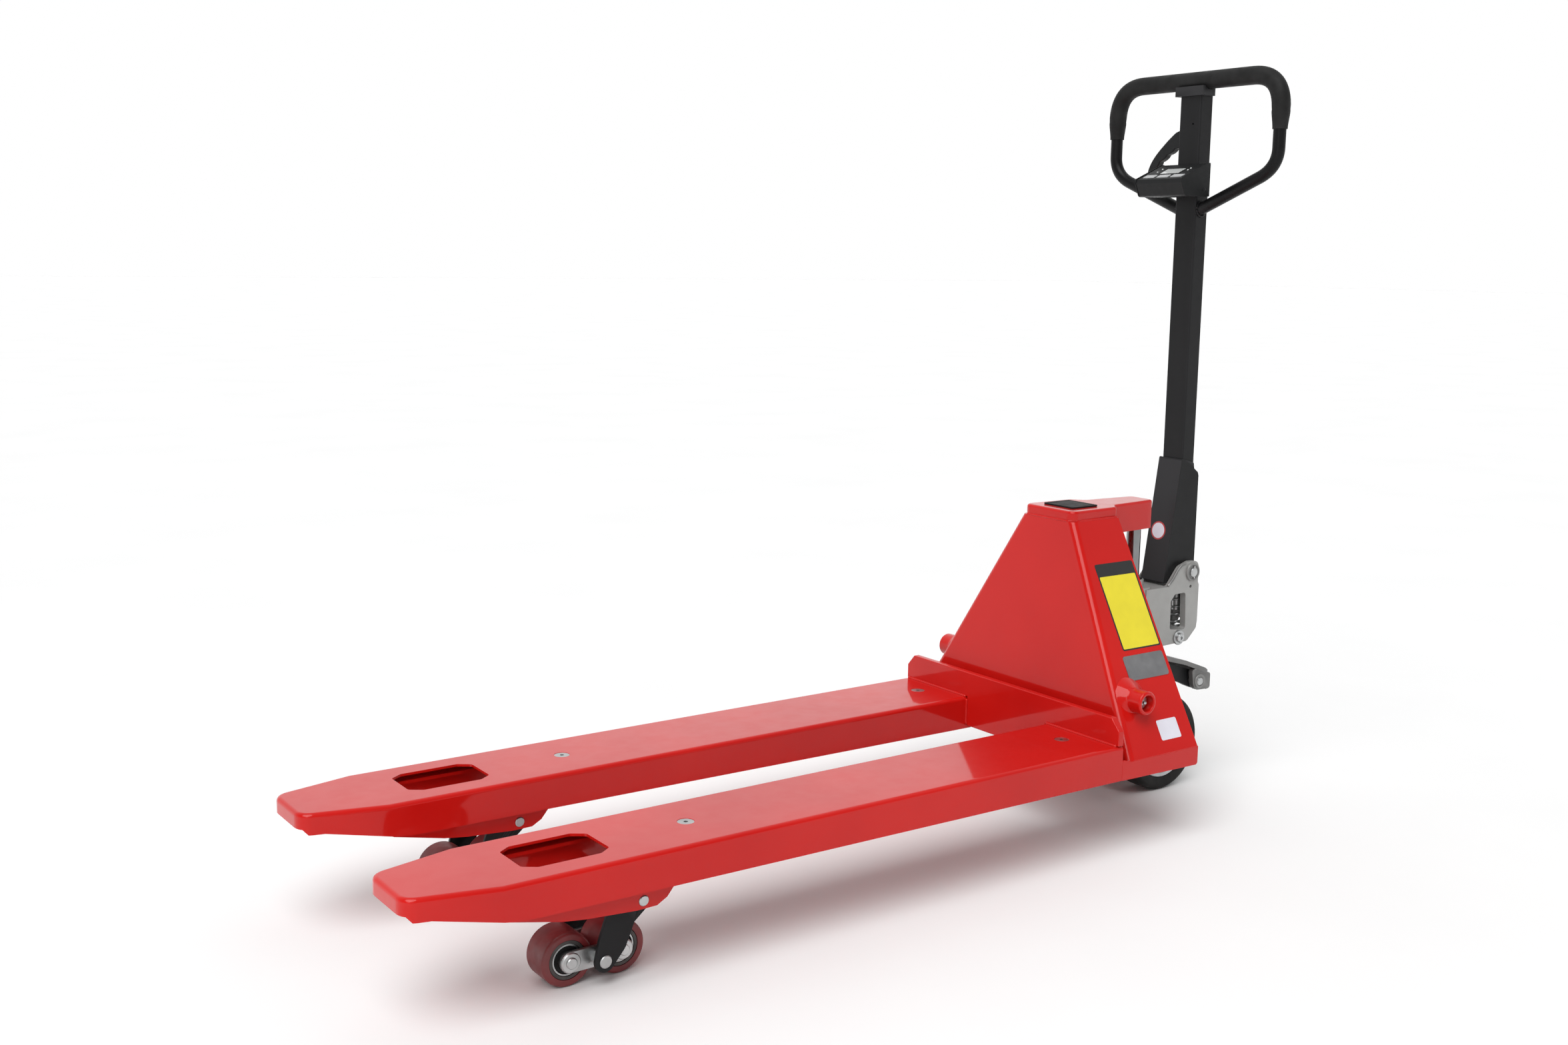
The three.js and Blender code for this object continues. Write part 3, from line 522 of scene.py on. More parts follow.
def refined(node, width=0.8, segments=2):
    """A CAD node that stays, with its edges rounded."""
    obj = frame["nodes"][node]
    shaded(obj, 40)
    dissolve = obj.modifiers.new("flat_faces", "DECIMATE")
    dissolve.decimate_type = "DISSOLVE"
    dissolve.angle_limit = math.radians(0.8)
    edge = obj.modifiers.new("soft_edges", "BEVEL")
    edge.width = width * MM
    edge.segments = segments
    edge.limit_method = "ANGLE"
    edge.angle_limit = math.radians(32)
    even_normals(obj)


def weld_bead(name, path, radius, body="chassis", look="red_paint"):
    """A painted weld: a low bead with a ripple every few millimetres."""
    length = sum((Vector(b) - Vector(a)).length for a, b in zip(path, path[1:]))
    points = along(path, max(4, int(length / 1.6)))
    radii = [radius * (1 + 0.13 * math.sin(2.1 * i) + 0.05 * math.sin(0.37 * i + 1))
             for i in range(len(points))]
    radii[0] = radii[-1] = radius * 0.5
    piece(name, tube(points, radii, 10), look, body, smooth=80)


# ---------------------------------------------------------------- weigh platform

FORK_SHEET = 4
FORK_FOLD = 7
TAPER_START = 1098
TAPER_END = 1203
NOSE_HALF = 59.5
NOSE_RADIUS = 26
SKIRT = [(860, 133), (1068, 135.5), (1087, 138), (1187, 155), (1209, 155), (1216, 163)]
SKIRT_HEEL = 127.5
OPENING = {"rear": 919, "front": 1049.5, "half": 44.5, "corner_x": 19, "corner_y": 13}
SCREW_HEAD = 12.2
SEAT_GAP = 0.4


def fork_plan(low, high, inset):
    """Plan of one fork, drawn in by inset; the nose tapers and is rounded."""
    centre = (low.y + high.y) / 2
    half = (high.y - low.y) / 2 - inset
    nose = NOSE_HALF - inset
    tip = high.x - inset
    side = [(low.x, half), (TAPER_START, half), (TAPER_END, nose)]
    side += [tuple(p) for p in bezier((TAPER_END, nose), (tip, nose - NOSE_RADIUS / 5),
                                      (tip, nose - NOSE_RADIUS), 8)]
    return [(x, centre + y) for x, y in side] + [(x, centre - y) for x, y in reversed(side)]


def folded_top(outline, bottom, top, fold, open_x):
    """A block with its top edges rounded, but for the edge at open_x."""
    return bevel(prism(outline, "z", bottom, top), fold, 5, lambda edge: (
        at_value(edge, "z", top) and not at_value(edge, "x", open_x)))


def opening_cutter(centre, top):
    front, rear, half, cx, cy = (OPENING[key] for key in ("front", "rear", "half", "corner_x", "corner_y"))
    side = [(front, half - cy), (front - cx, half), (rear + cx, half), (rear, half - cy)]
    corners = side + [(x, -y) for x, y in reversed(side)]
    return prism(rounded([(x, centre + y) for x, y in corners], 7), "z", top - 20, top + 5)


def screw_seat(x, y, top):
    """The cone that takes a countersunk head, with a gap round it."""
    wide = SCREW_HEAD + SEAT_GAP
    neck = 6.6 + SEAT_GAP
    return lathe([(0, top - 7), (neck, top - 7), (neck, top - 6), (wide, top - SEAT_GAP),
                  (wide, top + SEAT_GAP), (0, top + SEAT_GAP)], (x, y, 0), "z", 36)


def fork_cover(side):
    node = f"fork_shell_{side}"
    low, high = span(node)
    centre = (low.y + high.y) / 2
    bottom = low.z - 20
    ceiling = high.z - FORK_SHEET
    bm = folded_top(fork_plan(low, high, 0), bottom, high.z, FORK_FOLD, low.x)
    hollow = folded_top(fork_plan(low, high, FORK_SHEET), bottom - 10, ceiling, FORK_FOLD - 3, low.x)
    bay = block((low.x - 10, low.x + 20), (low.y + FORK_SHEET, high.y - FORK_SHEET),
                (bottom - 10, ceiling))
    below = prism([(low.x - 40, bottom - 20), (low.x - 40, SKIRT_HEEL), (low.x, SKIRT_HEEL), *SKIRT,
                   (high.x + 40, SKIRT[-1][1]), (high.x + 40, bottom - 20)], "y", low.y - 10, high.y + 10)
    seats = [screw_seat(middle(f"load_cell_{side}_{end}").x, centre, high.z) for end in ENDS]
    bm = cut(bm, hollow, bay, below, opening_cutter(centre, high.z), *seats)
    piece(f"fork_cover_{side}", soften(bm, 0.7, 2, 50), "red_paint", "chassis", node)


def load_cell(side, end):
    """Load cell block with its countersunk socket screw."""
    node = f"load_cell_{side}_{end}"
    low, high = span(node)
    at = middle(node)
    top = high.z
    screw = lathe([(0, low.z + 2), (6.4, low.z + 2), (6.4, top - 5.5), (SCREW_HEAD, top - 0.5),
                   (SCREW_HEAD, top - 0.15), (SCREW_HEAD - 0.4, top), (0, top)],
                  (at.x, at.y, 0), "z", 40)
    body = block((low.x, high.x), (low.y, high.y), (low.z, top - 4.4))
    socket = prism(hexagon(at.x, at.y, 6), "z", top - 3.5, top + 1)
    bm = cut(join(soften(body), screw), socket)
    piece(f"load_cell_fine_{side}_{end}", bm, "zinc_plate", "chassis", node)


def heel_plate():
    """Plate across the forks' heels, stepped over them, with its welds."""
    low, high = span("heel_plate")
    fork_low, fork_high = span("fork_shell_left")
    between = fork_low.y - 0.3
    top = fork_high.z
    step = top + 0.3
    side = [(between, low.z), (between, step), (high.y, step), (high.y, high.z - 19.8),
            (high.y - 17.6, high.z)]
    outline = [(-y, z) for y, z in side] + [(y, z) for y, z in reversed(side)]
    bm = soften(prism(outline, "x", low.x, high.x), 1.5, 3)
    piece("heel_plate_fine", bm, "red_paint", "chassis", "heel_plate")
    for name, sign in SIDES:
        inner, outer, edge = sign * (fork_low.y + 2), sign * (fork_high.y - 4), sign * between
        weld_bead(f"heel_weld_{name}", [(0.8, inner, top + 0.6), (0.8, outer, top + 0.6)], 2.6)
        weld_bead(f"cross_weld_{name}", [(0.6, edge, low.z + 3), (0.6, edge, top - 4)], 2.6)


for side, _ in SIDES:
    fork_cover(side)
    for end in ENDS:
        load_cell(side, end)
    refined(f"fork_rail_{side}", 1.0)
heel_plate()


# ---------------------------------------------------------------- tower and head

TOWER = {"bend": 153.6, "base": 124, "wall": 6, "front": -30, "front_lean": 0.146, "half": 270,
         "half_lean": 0.558, "fold": 13}
TOWER_REAR, TOWER_TOP = span("tower")[0].x, span("tower")[1].z
SLOPE_LENGTH = math.hypot(1, TOWER["half_lean"])
BOSS = {"radius": 20.4, "flare": 35, "bore": 13.5, "root": 14, "face": 255}
SHAFT = middle("rocker_shaft")


def tower_front(z):
    return TOWER["front"] - TOWER["front_lean"] * (z - TOWER["bend"])


def tower_half(z):
    return TOWER["half"] - TOWER["half_lean"] * (z - TOWER["bend"])


def tower_block(z0, z1, rear, inset, fold):
    """The leaning four-sided space of the tower, its two front edges rounded."""
    bm = bmesh.new()
    rings = []
    for z in (z0, z1):
        half = tower_half(z) - inset * SLOPE_LENGTH
        front = tower_front(z) - inset * math.hypot(1, TOWER["front_lean"])
        plan = rounded([(front, half, fold), (front, -half, fold), (rear, -half), (rear, half)], steps=7)
        rings.append([bm.verts.new((x, y, z)) for x, y in plan])
    skin(bm, rings, False)
    bm.faces.new(rings[0])
    bm.faces.new(rings[1])
    return outward(bm)


def tower_band(sign):
    """Upright lower edge of a side plate, reaching forward to the heel plate."""
    y = sorted((sign * TOWER["half"], sign * (TOWER["half"] - TOWER["wall"])))
    front = span("heel_plate")[0].x - 0.4
    base, bend = TOWER["base"], TOWER["bend"]
    outline = rounded([(TOWER_REAR, base, 5), (front, base + 3, 2), (front, bend + 9, 3),
                       (TOWER["front"] - 2, bend + 3), (TOWER_REAR, bend + 3)])
    return prism(outline, "y", *y)


def tower_sheet():
    """The folded plate of the tower, with the shaft's bore through both sides."""
    bend, wall, fold = TOWER["bend"], TOWER["wall"], TOWER["fold"]
    bm = tower_block(bend, TOWER_TOP, TOWER_REAR, 0, fold)
    hollow = tower_block(bend - 10, TOWER_TOP - wall, TOWER_REAR - 40, wall, fold - wall)
    bm = join(cut(bm, hollow), *[tower_band(sign) for _, sign in SIDES])
    bm = cut(bm, drill(BOSS["bore"], -300, 300, (SHAFT.x, 0, SHAFT.z)))
    piece("tower_sheet", soften(bm, 1.4, 3, 40), "red_paint", "chassis", "tower", smooth=30)


def boss(side, sign):
    """Cast ring welded to the side plate, with a flared root that follows the plate's lean."""
    radius, flare, bore, root = (BOSS[key] for key in ("radius", "flare", "bore", "root"))
    face = BOSS["face"]
    foot = tower_half(SHAFT.z) + 12
    profile = [(bore, tower_half(SHAFT.z) - 16), (flare + 1, tower_half(SHAFT.z) - 16),
               (flare, foot - root)]
    profile += [(radius + (flare - radius) * (1 - math.sin(t)), foot - root * (1 - t / 1.57)) for t in
                (0.15, 0.3, 0.5, 0.75, 1.0, 1.25, 1.45)]
    profile += [(radius, foot + 4), (radius, face - 4)]
    profile += [(radius - 3.4 * (1 - math.cos(t)), face - 4 * (1 - math.sin(t))) for t in
                (0.4, 0.8, 1.2, 1.57)]
    profile += [(bore + 1.5, face), (bore, face - 1.5)]
    bm = turned(profile, SHAFT.xz, 0, sign, 64, True)
    for vert in bm.verts:
        share = min(1, max(0, (foot - abs(vert.co.y)) / root))
        vert.co.y -= sign * share * TOWER["half_lean"] * (vert.co.z - SHAFT.z)
    piece(f"tower_boss_{side}", bm, "red_paint", "chassis", smooth=50)


def shaft():
    """Rocker shaft, with a grease nipple in each recessed end."""
    low, high = span("rocker_shaft")
    end = high.y - 7
    bm = rod((high.z - low.z) / 2, -end, end, (SHAFT.x, 0, SHAFT.z), 1.5, segments=48)
    piece("rocker_shaft_fine", bm, "zinc_plate", "chassis", "rocker_shaft")
    profile = [(0, 0), (4.6, 0), (4.6, 3.0), (2.4, 3.6), (2.4, 5.2), (3.1, 6.0), (3.1, 7.2),
               (1.8, 8.4), (0, 8.4)]
    for side, sign in SIDES:
        nipple = turned(profile, SHAFT.xz, sign * (end - 0.5), sign, 24)
        piece(f"grease_nipple_{side}", nipple, "zinc_plate", "chassis")


def head():
    """Cap over the tower and the neck that reaches back over the ram."""
    low, high = span("head_bracket")
    half = [(high.x, 62, 15), (TOWER_REAR, 58, 5), (TOWER_REAR - 18, 38, 12), (low.x + 30, 30, 18),
            (low.x + 10, 27, 15)]
    mirror = [(x, -y, radius) for x, y, radius in reversed(half)]
    bm = prism(rounded([mirror[-1], *half, *mirror[:-1]], steps=6), "z", low.z, high.z)
    bevel(bm, 9, 6, lambda edge: at_value(edge, "z", high.z))
    bm = cut(bm, block((TOWER_REAR - 1, high.x + 50), (-100, 100), (low.z - 10, TOWER_TOP + 0.3)))
    piece("head_cap", soften(bm, 1.8, 3, 40), "red_paint", "chassis", "head_bracket", smooth=50)
    seam = [(TOWER_REAR, -60.5), (high.x - 14, -61.5), (high.x + 0.5, -50), (high.x + 0.5, 50),
            (high.x - 14, 61.5), (TOWER_REAR, 60.5)]
    weld_bead("cap_weld", [(x, y, TOWER_TOP + 0.4) for x, y in seam], 2.2)


def head_pad():
    """Rubber pad with a raised rim."""
    low, high = span("head_pad")
    outer = rectangle((low.x, high.x), (low.y, high.y), 3)
    inner = rectangle((low.x + 4, high.x - 4), (low.y + 4, high.y - 4), 2)
    bm = cut(prism(outer, "z", low.z, high.z), prism(inner, "z", high.z - 0.5, high.z + 1))
    piece("head_pad_fine", soften(bm, 0.35, 2), "black_rubber", "chassis", "head_pad")


def ram():
    low, high = span("ram")
    x = middle("ram").x
    bm = rod(x - low.x, low.z, high.z, (x, 0, 0), 1.2, "z", 48)
    piece("ram_fine", bm, "chrome_rod", "chassis", "ram")


def label(name, x, z, width, height, corner, material, slot, thick=0.2):
    """A thin plate on the tower's left side; height runs up the slope."""
    up = Vector((0, -TOWER["half_lean"], 1)) / SLOPE_LENGTH
    out = Vector((0, 1, TOWER["half_lean"])) / SLOPE_LENGTH
    bm = tile(width, height, 0, thick, corner)
    turn = Matrix((Vector((1, 0, 0)), up, out)).transposed().to_4x4()
    bm.transform(Matrix.Translation((x, tower_half(z), z)) @ turn)
    piece(name, bm, material, "chassis", slot=slot)


tower_sheet()
for side, sign in SIDES:
    boss(side, sign)
shaft()
head()
head_pad()
ram()
# Plain stickers and a plain data plate, without any lettering.
label("notice_backing", -146, 384.5, 93, 157, 4, LABEL_BLACK, "black_plastic")
label("notice_panel", -146, 375.4, 87, 131, 2, LABEL_YELLOW, "red_paint", 0.3)
label("data_plate", -140.5, 289, 97, 43, 5, LABEL_METAL, "zinc_plate", 0.8)
label("data_plate_panel", -140.5, 289, 88, 34, 2, LABEL_METAL, "zinc_plate", 0.9)
label("white_sticker", -143.5, 190.5, 48, 35, 3, LABEL_WHITE, "red_paint")


# ---------------------------------------------------------------- lifting linkage and rollers

LINK_HALF_HEIGHT = 15
ARM_INNER, ARM_OUTER = 50, 56


def load_fork(side):
    """Two flat arms on the pivot tube, and the lug that the push rod works."""
    pin_node = f"load_fork_pin_{side}"
    pivot = middle(pin_node)
    foot = middle(f"bogie_{side}")
    x, y, z = pivot
    centre = (x, 0, z)
    discs = [(x, z, 20), (x + 26.5, z - 18, 23), (x + 40.5, z - 54, 22), (foot.x, foot.z, 15.5)]
    arms = []
    for _, sign in SIDES:
        faces = sorted((y + sign * ARM_INNER, y + sign * ARM_OUTER))
        parts = [prism(around([a, b]), "y", *faces) for a, b in zip(discs, discs[1:])]
        arms.append(soften(join(*parts), 1.0, 2, 40))
    sleeve = rod(12, y - ARM_OUTER, y + ARM_OUTER, centre, segments=32)
    lug = soften(prism(around([(x, z, 12), (x + 12, z + 22.5, 12)]), "y", y - 7, y + 7), 1)
    slot = prism(around([(x + 12.7, z + 23.9, 5.9), (x + 10.6, z + 19.8, 5.9)]), "y", y - 20, y + 20)
    bm = cut(join(sleeve, *arms, lug), slot, drill(7.8, y - 80, y + 80, centre))
    piece(f"load_fork_fine_{side}", bm, "black_coat", f"load_arm_{side}", f"load_fork_{side}")
    low, high = span(pin_node)
    pin = rod((high.z - low.z) / 2, low.y, high.y, centre, 1, segments=32)
    piece(f"load_fork_pin_fine_{side}", pin, "zinc_plate", "chassis", pin_node)


def bogie(side):
    """Two link plates with raised bosses, two axles and a stub of the centre pin on each plate."""
    node = f"bogie_{side}"
    body = f"tandem_{side}"
    x, y, z = ((a + b) / 2 for a, b in zip(*span(node)))
    ends = [middle(f"roller_tread_{side}_{end}").x for end in ENDS]
    for name, sign in SIDES:
        plate = sorted((y + sign * 28, y + sign * 34))
        bm = soften(prism(stadium(ends, z, LINK_HALF_HEIGHT), "y", *plate), 1.2, 3)
        bosses = [rod(14.3, *sorted((y + sign * 27.5, y + sign * 36)), (end, 0, z), 1.4) for end in ends]
        piece(f"bogie_link_{side}_{name}", join(bm, *bosses), "zinc_plate", body)
        stub = rod(9, *sorted((y + sign * 30, y + sign * 58.5)), (x, 0, z), 1)
        piece(f"bogie_pin_{side}_{name}", stub, "zinc_plate", body)
    for end, place in zip(ENDS, ends):
        axle = rod(8, y - 38.5, y + 38.5, (place, 0, z), 1.2)
        stands_for = [node] if end == "rear" else []
        piece(f"roller_axle_{side}_{end}", axle, "zinc_plate", body, *stands_for)


def mirrored(half, y):
    """A ring profile from one half of it, (radius, distance from the middle plane y)."""
    return [(r, y + t) for r, t in half] + [(r, y - t) for r, t in reversed(half)]


def shoulder(radius, width, edge, steps=5):
    """Rounded shoulder of a tread, from the face in to the rolling surface."""
    turns = [math.pi / 2 * i / steps for i in range(steps + 1)]
    return [(radius - edge * (1 - math.sin(t)), width - edge * (1 - math.cos(t))) for t in turns]


def roller(side, end):
    """Polyurethane tread on an iron core, with a sealed bearing in each face."""
    tread = f"roller_tread_{side}_{end}"
    hub = f"roller_hub_{side}_{end}"
    body = f"roller_{side}_{end}"
    low, high = span(tread)
    at = middle(tread)
    width = (high.y - low.y) / 2
    radius = (high.z - low.z) / 2
    profile = mirrored([(27.8, width - 0.6)] + shoulder(radius, width, 4.5), at.y)
    piece(f"{tread}_fine", turned(profile, at.xz, 0, 1, 72, True), "roller_tread", body, tread)
    core = mirrored([(22.4, width - 3), (22.8, width - 1.2), (27.0, width - 1.2), (27.5, width - 1.8)], at.y)
    piece(f"{hub}_core", turned(core, at.xz, 0, 1, 64, True), "roller_hub", body, hub)
    rings = {
        "outer_race": [(19.6, -3.4), (19.9, -2.2), (21.9, -2.2), (22.3, -3.2), (22.3, -9), (19.6, -9)],
        "inner_race": [(8.4, -3), (8.6, 1.6), (12.2, 1.6), (12.6, 1.0), (12.6, -6), (8.4, -6)],
        "seal": [(12.7, -4.4), (13.6, -3.8), (18.6, -3.8), (19.5, -4.6), (19.5, -6), (12.7, -6)],
    }
    for name, sign in SIDES:
        for part, ring in rings.items():
            look, slot = (DARK_SEAL, "tyre_rubber") if part == "seal" else ("zinc_plate", None)
            bm = turned([(r, width + t) for r, t in ring], at.xz, at.y, sign, 64, True)
            piece(f"{body}_{part}_{name}", bm, look, body, slot=slot)


for side, _ in SIDES:
    load_fork(side)
    bogie(side)
    for end in ("front", "rear"):
        roller(side, end)
    refined(f"push_rod_{side}", 0.8)
refined("rocker_arm", 1.6, 3)


# ---------------------------------------------------------------- pump unit

STEER_X = middle("ram").x
PIVOT = middle("handle_pin_left")
SCREW = middle("pump_screw")
PUMP_LOW, PUMP_HIGH = span("pump_body")
PUMP_FACE = 38
SHOULDER = PUMP_HIGH.z - 26.7


def pump_casting():
    """Grey casting: pump barrel, plunger housing with its window, and the two handle ears."""
    low, x, z = PUMP_LOW, PIVOT.x, PIVOT.z
    slot_z = 375
    outline = rounded([
        (STEER_X, low.z), (-425, low.z + 3, 14), (-449, 288, 10), (low.x, 302, 6), (low.x, 371, 4),
        (low.x + 3, 377, 3), (low.x + 3, 384, 4), (low.x, z + 2, 12), (x - 14, z + 20, 12),
        (x + 8, z + 20.5, 12), (-397, 410, 16), (-368, slot_z, 12), (STEER_X, slot_z)], steps=5)
    cheeks = prism(outline, "y", -PUMP_FACE, PUMP_FACE)
    barrel = lathe([(0, low.z), (35, low.z), (36, low.z + 1), (36, 376), (34, 378), (24, 378.6),
                    (22, 380), (22, SHOULDER - 1.3), (20.6, SHOULDER), (0, SHOULDER)],
                   (STEER_X, 0, 0), "z", 64)
    clevis_slot = block((-480, STEER_X - 34), (-28.5, 28.5), (slot_z, z + 40))
    presser_room = block((-480, x + 4), (-28.5, 28.5), (slot_z - 9, slot_z + 1))
    window = prism(rounded([(-419, 288, 6), (-376, 293, 4), (-376, 347, 5), (-386, 359, 6),
                            (-415, 360, 5)]), "y", -60, 60)
    hollows = [window,
               block((-443, -388), (-25, 25), (290, 360)),
               drill(17.5, 286, z, (x - 4, 0, 0), "z", 40),
               drill(13.6, 276, 400, (STEER_X, 0, 0), "z", 40),
               drill(9.4, -60, 60, (x, 0, z), "y", 32),
               drill(3, 20, 60, (-428, 0, 370), "y", 20)]
    bm = cut(join(cut(cheeks, clevis_slot, presser_room), barrel), *hollows)
    piece("pump_casting", soften(bm, 1.5, 2, 38), "cast_grey", "steering", "pump_body", smooth=45)


def pump_details():
    """Ribs, bosses and pin ends on both faces of the pump casting, and the ram's wiper."""
    x, z = PIVOT.x, PIVOT.z
    rib = [(-366, 377), (-378, 388), (-390, 404), (-400, 413), (-413, 416)]
    ring = [(9.3, -0.5), (17.5, -0.5), (17.5, 3.0), (16.2, 4.4), (13.6, 4.4), (12.8, 3.4), (9.3, 3.4)]
    for name, sign in SIDES:
        face = sign * PUMP_FACE
        path = along([(a, face, b) for a, b in rib], 14)
        bm = tube(path, [2.6] * len(path), 12)
        piece(f"ear_rib_{name}", bm, "cast_grey", "steering", smooth=80)
        bm = turned(ring, PIVOT.xz, face, sign, 48, True)
        piece(f"pivot_boss_{name}", bm, "cast_grey", "steering", smooth=50)
        pin = rod(9, *sorted((sign * 23.3, sign * 44.5)), (x, 0, z), 1.4)
        piece(f"pivot_pin_{name}", pin, "zinc_plate", "steering", f"handle_pin_{name}")
        split = drill(1.7, -12, 12, (x - 1, sign * 42.6, z), "z", 16)
        piece(f"split_pin_{name}", split, "zinc_plate", "steering")
    lower = [(0, 0), (16.5, 0), (16.5, 1.4), (15, 2.2), (0, 2.2)]
    bm = turned(lower, SCREW.xz, -PUMP_FACE, -1, 40)
    piece("lower_boss", bm, "cast_grey", "steering", smooth=50)
    wiper = [(13.4, -0.2), (19.5, -0.2), (19.5, 2.0), (18, 3.2), (14.6, 3.2), (13.4, 2.4)]
    bm = lathe([(r, SHOULDER + t) for r, t in wiper], (STEER_X, 0, 0), "z", 48, True)
    piece("ram_wiper", bm, DARK_SEAL, "steering", slot="tyre_rubber", smooth=50)


def pump_screw():
    """Socket screw with a washer, low on the pump's left face."""
    low, high = span("pump_screw")
    washer = turned([(0, 0), (14, 0), (14, 2.2), (13.2, 3), (0, 3)], SCREW.xz, low.y)
    head = lathe([(0, low.y + 2.8), (9, low.y + 2.8), (9, high.y - 1.6), (7.8, high.y - 0.4), (0, high.y)],
                 (SCREW.x, 0, SCREW.z))
    socket = prism(hexagon(SCREW.x, SCREW.z, 6), "y", high.y - 3, high.y + 2)
    piece("pump_screw_fine", cut(join(washer, head), socket), "zinc_plate", "steering", "pump_screw")


def plunger():
    low, high = span("plunger")
    head = high.z - 8
    profile = [(0, low.z), (8, low.z), (9, low.z + 1), (9, head), (15.5, head), (16.5, head + 1),
               (16.5, high.z - 2.5), (14, high.z), (0, high.z)]
    bm = lathe(profile, (middle("plunger").x, 0, 0), "z")
    piece("plunger_fine", bm, "zinc_plate", "plunger_unit", "plunger")


def spring():
    """Return spring with closed end coils."""
    low, high = span("plunger_spring")
    x = middle("plunger").x
    wire = 1.9
    radius = (high.x - low.x) / 2 - wire
    bottom, top = low.z + wire, high.z - wire
    turns = 7.5
    steps = int(turns * 28)
    path = []
    for i in range(steps + 1):
        share = i / steps
        climb = min(1, max(0, (share - 0.1) / 0.8))
        ends = 0.05 * (min(share, 0.1) + max(share - 0.9, 0)) / 0.2
        angle = 2 * math.pi * turns * share
        path.append(Vector((x + radius * math.cos(angle), radius * math.sin(angle),
                            bottom + (top - bottom) * (climb * 0.95 + ends))))
    obj = piece("plunger_spring_fine", tube(path, [wire] * len(path), 10), "zinc_plate", "steering",
                "plunger_spring", smooth=80)
    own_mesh(obj)


def thrust_plate():
    """Cast cover round the steering column, with an ear at each rear corner for the rocker pin."""
    low, high = span("thrust_plate")
    pin = middle("rocker_pin")
    half = high.y
    rear = low.x
    top = [(-270, 255, 3), (-308, 255, 20), (-350, 249, 20), (-400, 235, 20), (-453, 215, 20),
           (rear, 204.5, 9)]
    under = [(rear, 171), (rear + 8.8, 171), (rear + 8.8, 198.4), (-450, 206.4), (-400, 226.4),
             (-350, 240.4), (-308, 247), (-270, 247)]
    cover = prism(rounded(top + under, steps=4), "y", -half, half)
    plan = rounded([(rear, -half, 16), (rear, half, 16), (-300, half, 4), (-270, 34, 20), (-270, -34, 20),
                    (-300, -half, 4)], steps=6)
    shape = combined(cover, [prism(plan, "z", 150, 280)], "INTERSECT")
    ear = around([(pin.x, pin.z, 17), (rear + 6, 198, 6), (rear + 6, 178, 6), (pin.x + 12, 208, 8)])
    ears = [soften(prism(ear, "y", *sorted((sign * 50, sign * (half - 0.5)))), 1.6, 3)
            for _, sign in SIDES]
    bm = cut(join(soften(shape, 2.2, 3, 40), *ears), drill(18.6, 230, 270, (STEER_X, 0, 0), "z", 40),
             drill(8.4, -80, 80, (pin.x, 0, pin.z), "y", 32))
    piece("thrust_casting", bm, "cast_grey", "pump_carriage", "thrust_plate", smooth=45)
    ring = [(8.5, 0), (13.5, 0), (13.5, 1.6), (12.6, 2.4), (9.6, 2.4), (8.5, 1.6)]
    for name, sign in SIDES:
        bm = turned(ring, pin.xz, sign * (half - 0.6), sign, 48, True)
        piece(f"thrust_boss_{name}", bm, "cast_grey", "pump_carriage", smooth=50)
    rocker_pin = rod(8, -64.5, 64.5, (pin.x, 0, pin.z), 1.4)
    piece("rocker_pin_fine", rocker_pin, "zinc_plate", "pump_carriage", "rocker_pin")


def release_lever():
    low, high = span("release_lever")
    discs = [(-459, 341, 6), (-463, 318, 7), (-460, 300, 5)]
    parts = [prism(around([a, b]), "y", low.y, high.y) for a, b in zip(discs, discs[1:])]
    piece("release_lever_fine", soften(join(*parts), 1.6, 3, 30), "cast_grey", "release_valve",
          "release_lever")


def steer_wheel(side, sign):
    """Rubber tyre on a webbed aluminium hub with a sealed bearing."""
    body = f"wheel_{side}"
    low, high = span(f"steer_tyre_{side}")
    at = (low + high) / 2
    width = (high.y - low.y) / 2
    radius = (high.z - low.z) / 2
    half = [(66.4, width - 3), (70, width - 1.2), *shoulder(radius, width, 9, 7), (radius, 0.01)]
    bm = turned(mirrored(half, at.y), at.xz, 0, 1, 96, True)
    piece(f"steer_tyre_fine_{side}", bm, "tyre_rubber", body, f"steer_tyre_{side}")
    hub = [(17.6, 24), (22, 24), (24, 22), (25.5, 11), (29, 9), (52, 9), (55.5, 12), (57, 21), (58.5, 23),
           (64.6, 23), (66, 21.5)]
    turns = [math.pi * k / 3 for k in range(6)]
    holes = [drill(6, at.y - 40, at.y + 40, (at.x + 40 * math.cos(t), 0, at.z + 40 * math.sin(t)), "y", 20)
             for t in turns]
    bm = cut(turned(mirrored(hub, at.y), at.xz, 0, 1, 72, True), *holes)
    piece(f"steer_hub_fine_{side}", bm, "wheel_hub", body, f"steer_hub_{side}", smooth=32)
    race = [(10.4, 23), (10.4, 25.6), (12.6, 25.6), (13, 24), (13, 23), (16.6, 22.6), (17.4, 23.4),
            (17.4, 18), (10.4, 18)]
    for name, face in SIDES:
        bm = turned(race, at.xz, at.y, face * 0.97, 48, True)
        piece(f"{body}_bearing_{name}", bm, "zinc_plate", body, smooth=40)
    washer = rod(14, *sorted((sign * 75.4, sign * 77.5)), (at.x, 0, at.z), 0.8)
    piece(f"axle_washer_{side}", washer, "zinc_plate", "steering")


def axle():
    low, high = span("steering_axle")
    at = middle("steering_axle")
    bm = rod(10, low.y - 5, high.y + 5, (at.x, 0, at.z), 1.4)
    piece("steering_axle_fine", bm, "zinc_plate", "steering", "steering_axle")


pump_casting()
pump_details()
pump_screw()
plunger()
spring()
thrust_plate()
release_lever()
axle()
for side, sign in SIDES:
    steer_wheel(side, sign)
refined("thrust_bearing", 0.6)
refined("steering_column", 1.5)


# ---------------------------------------------------------------- handle

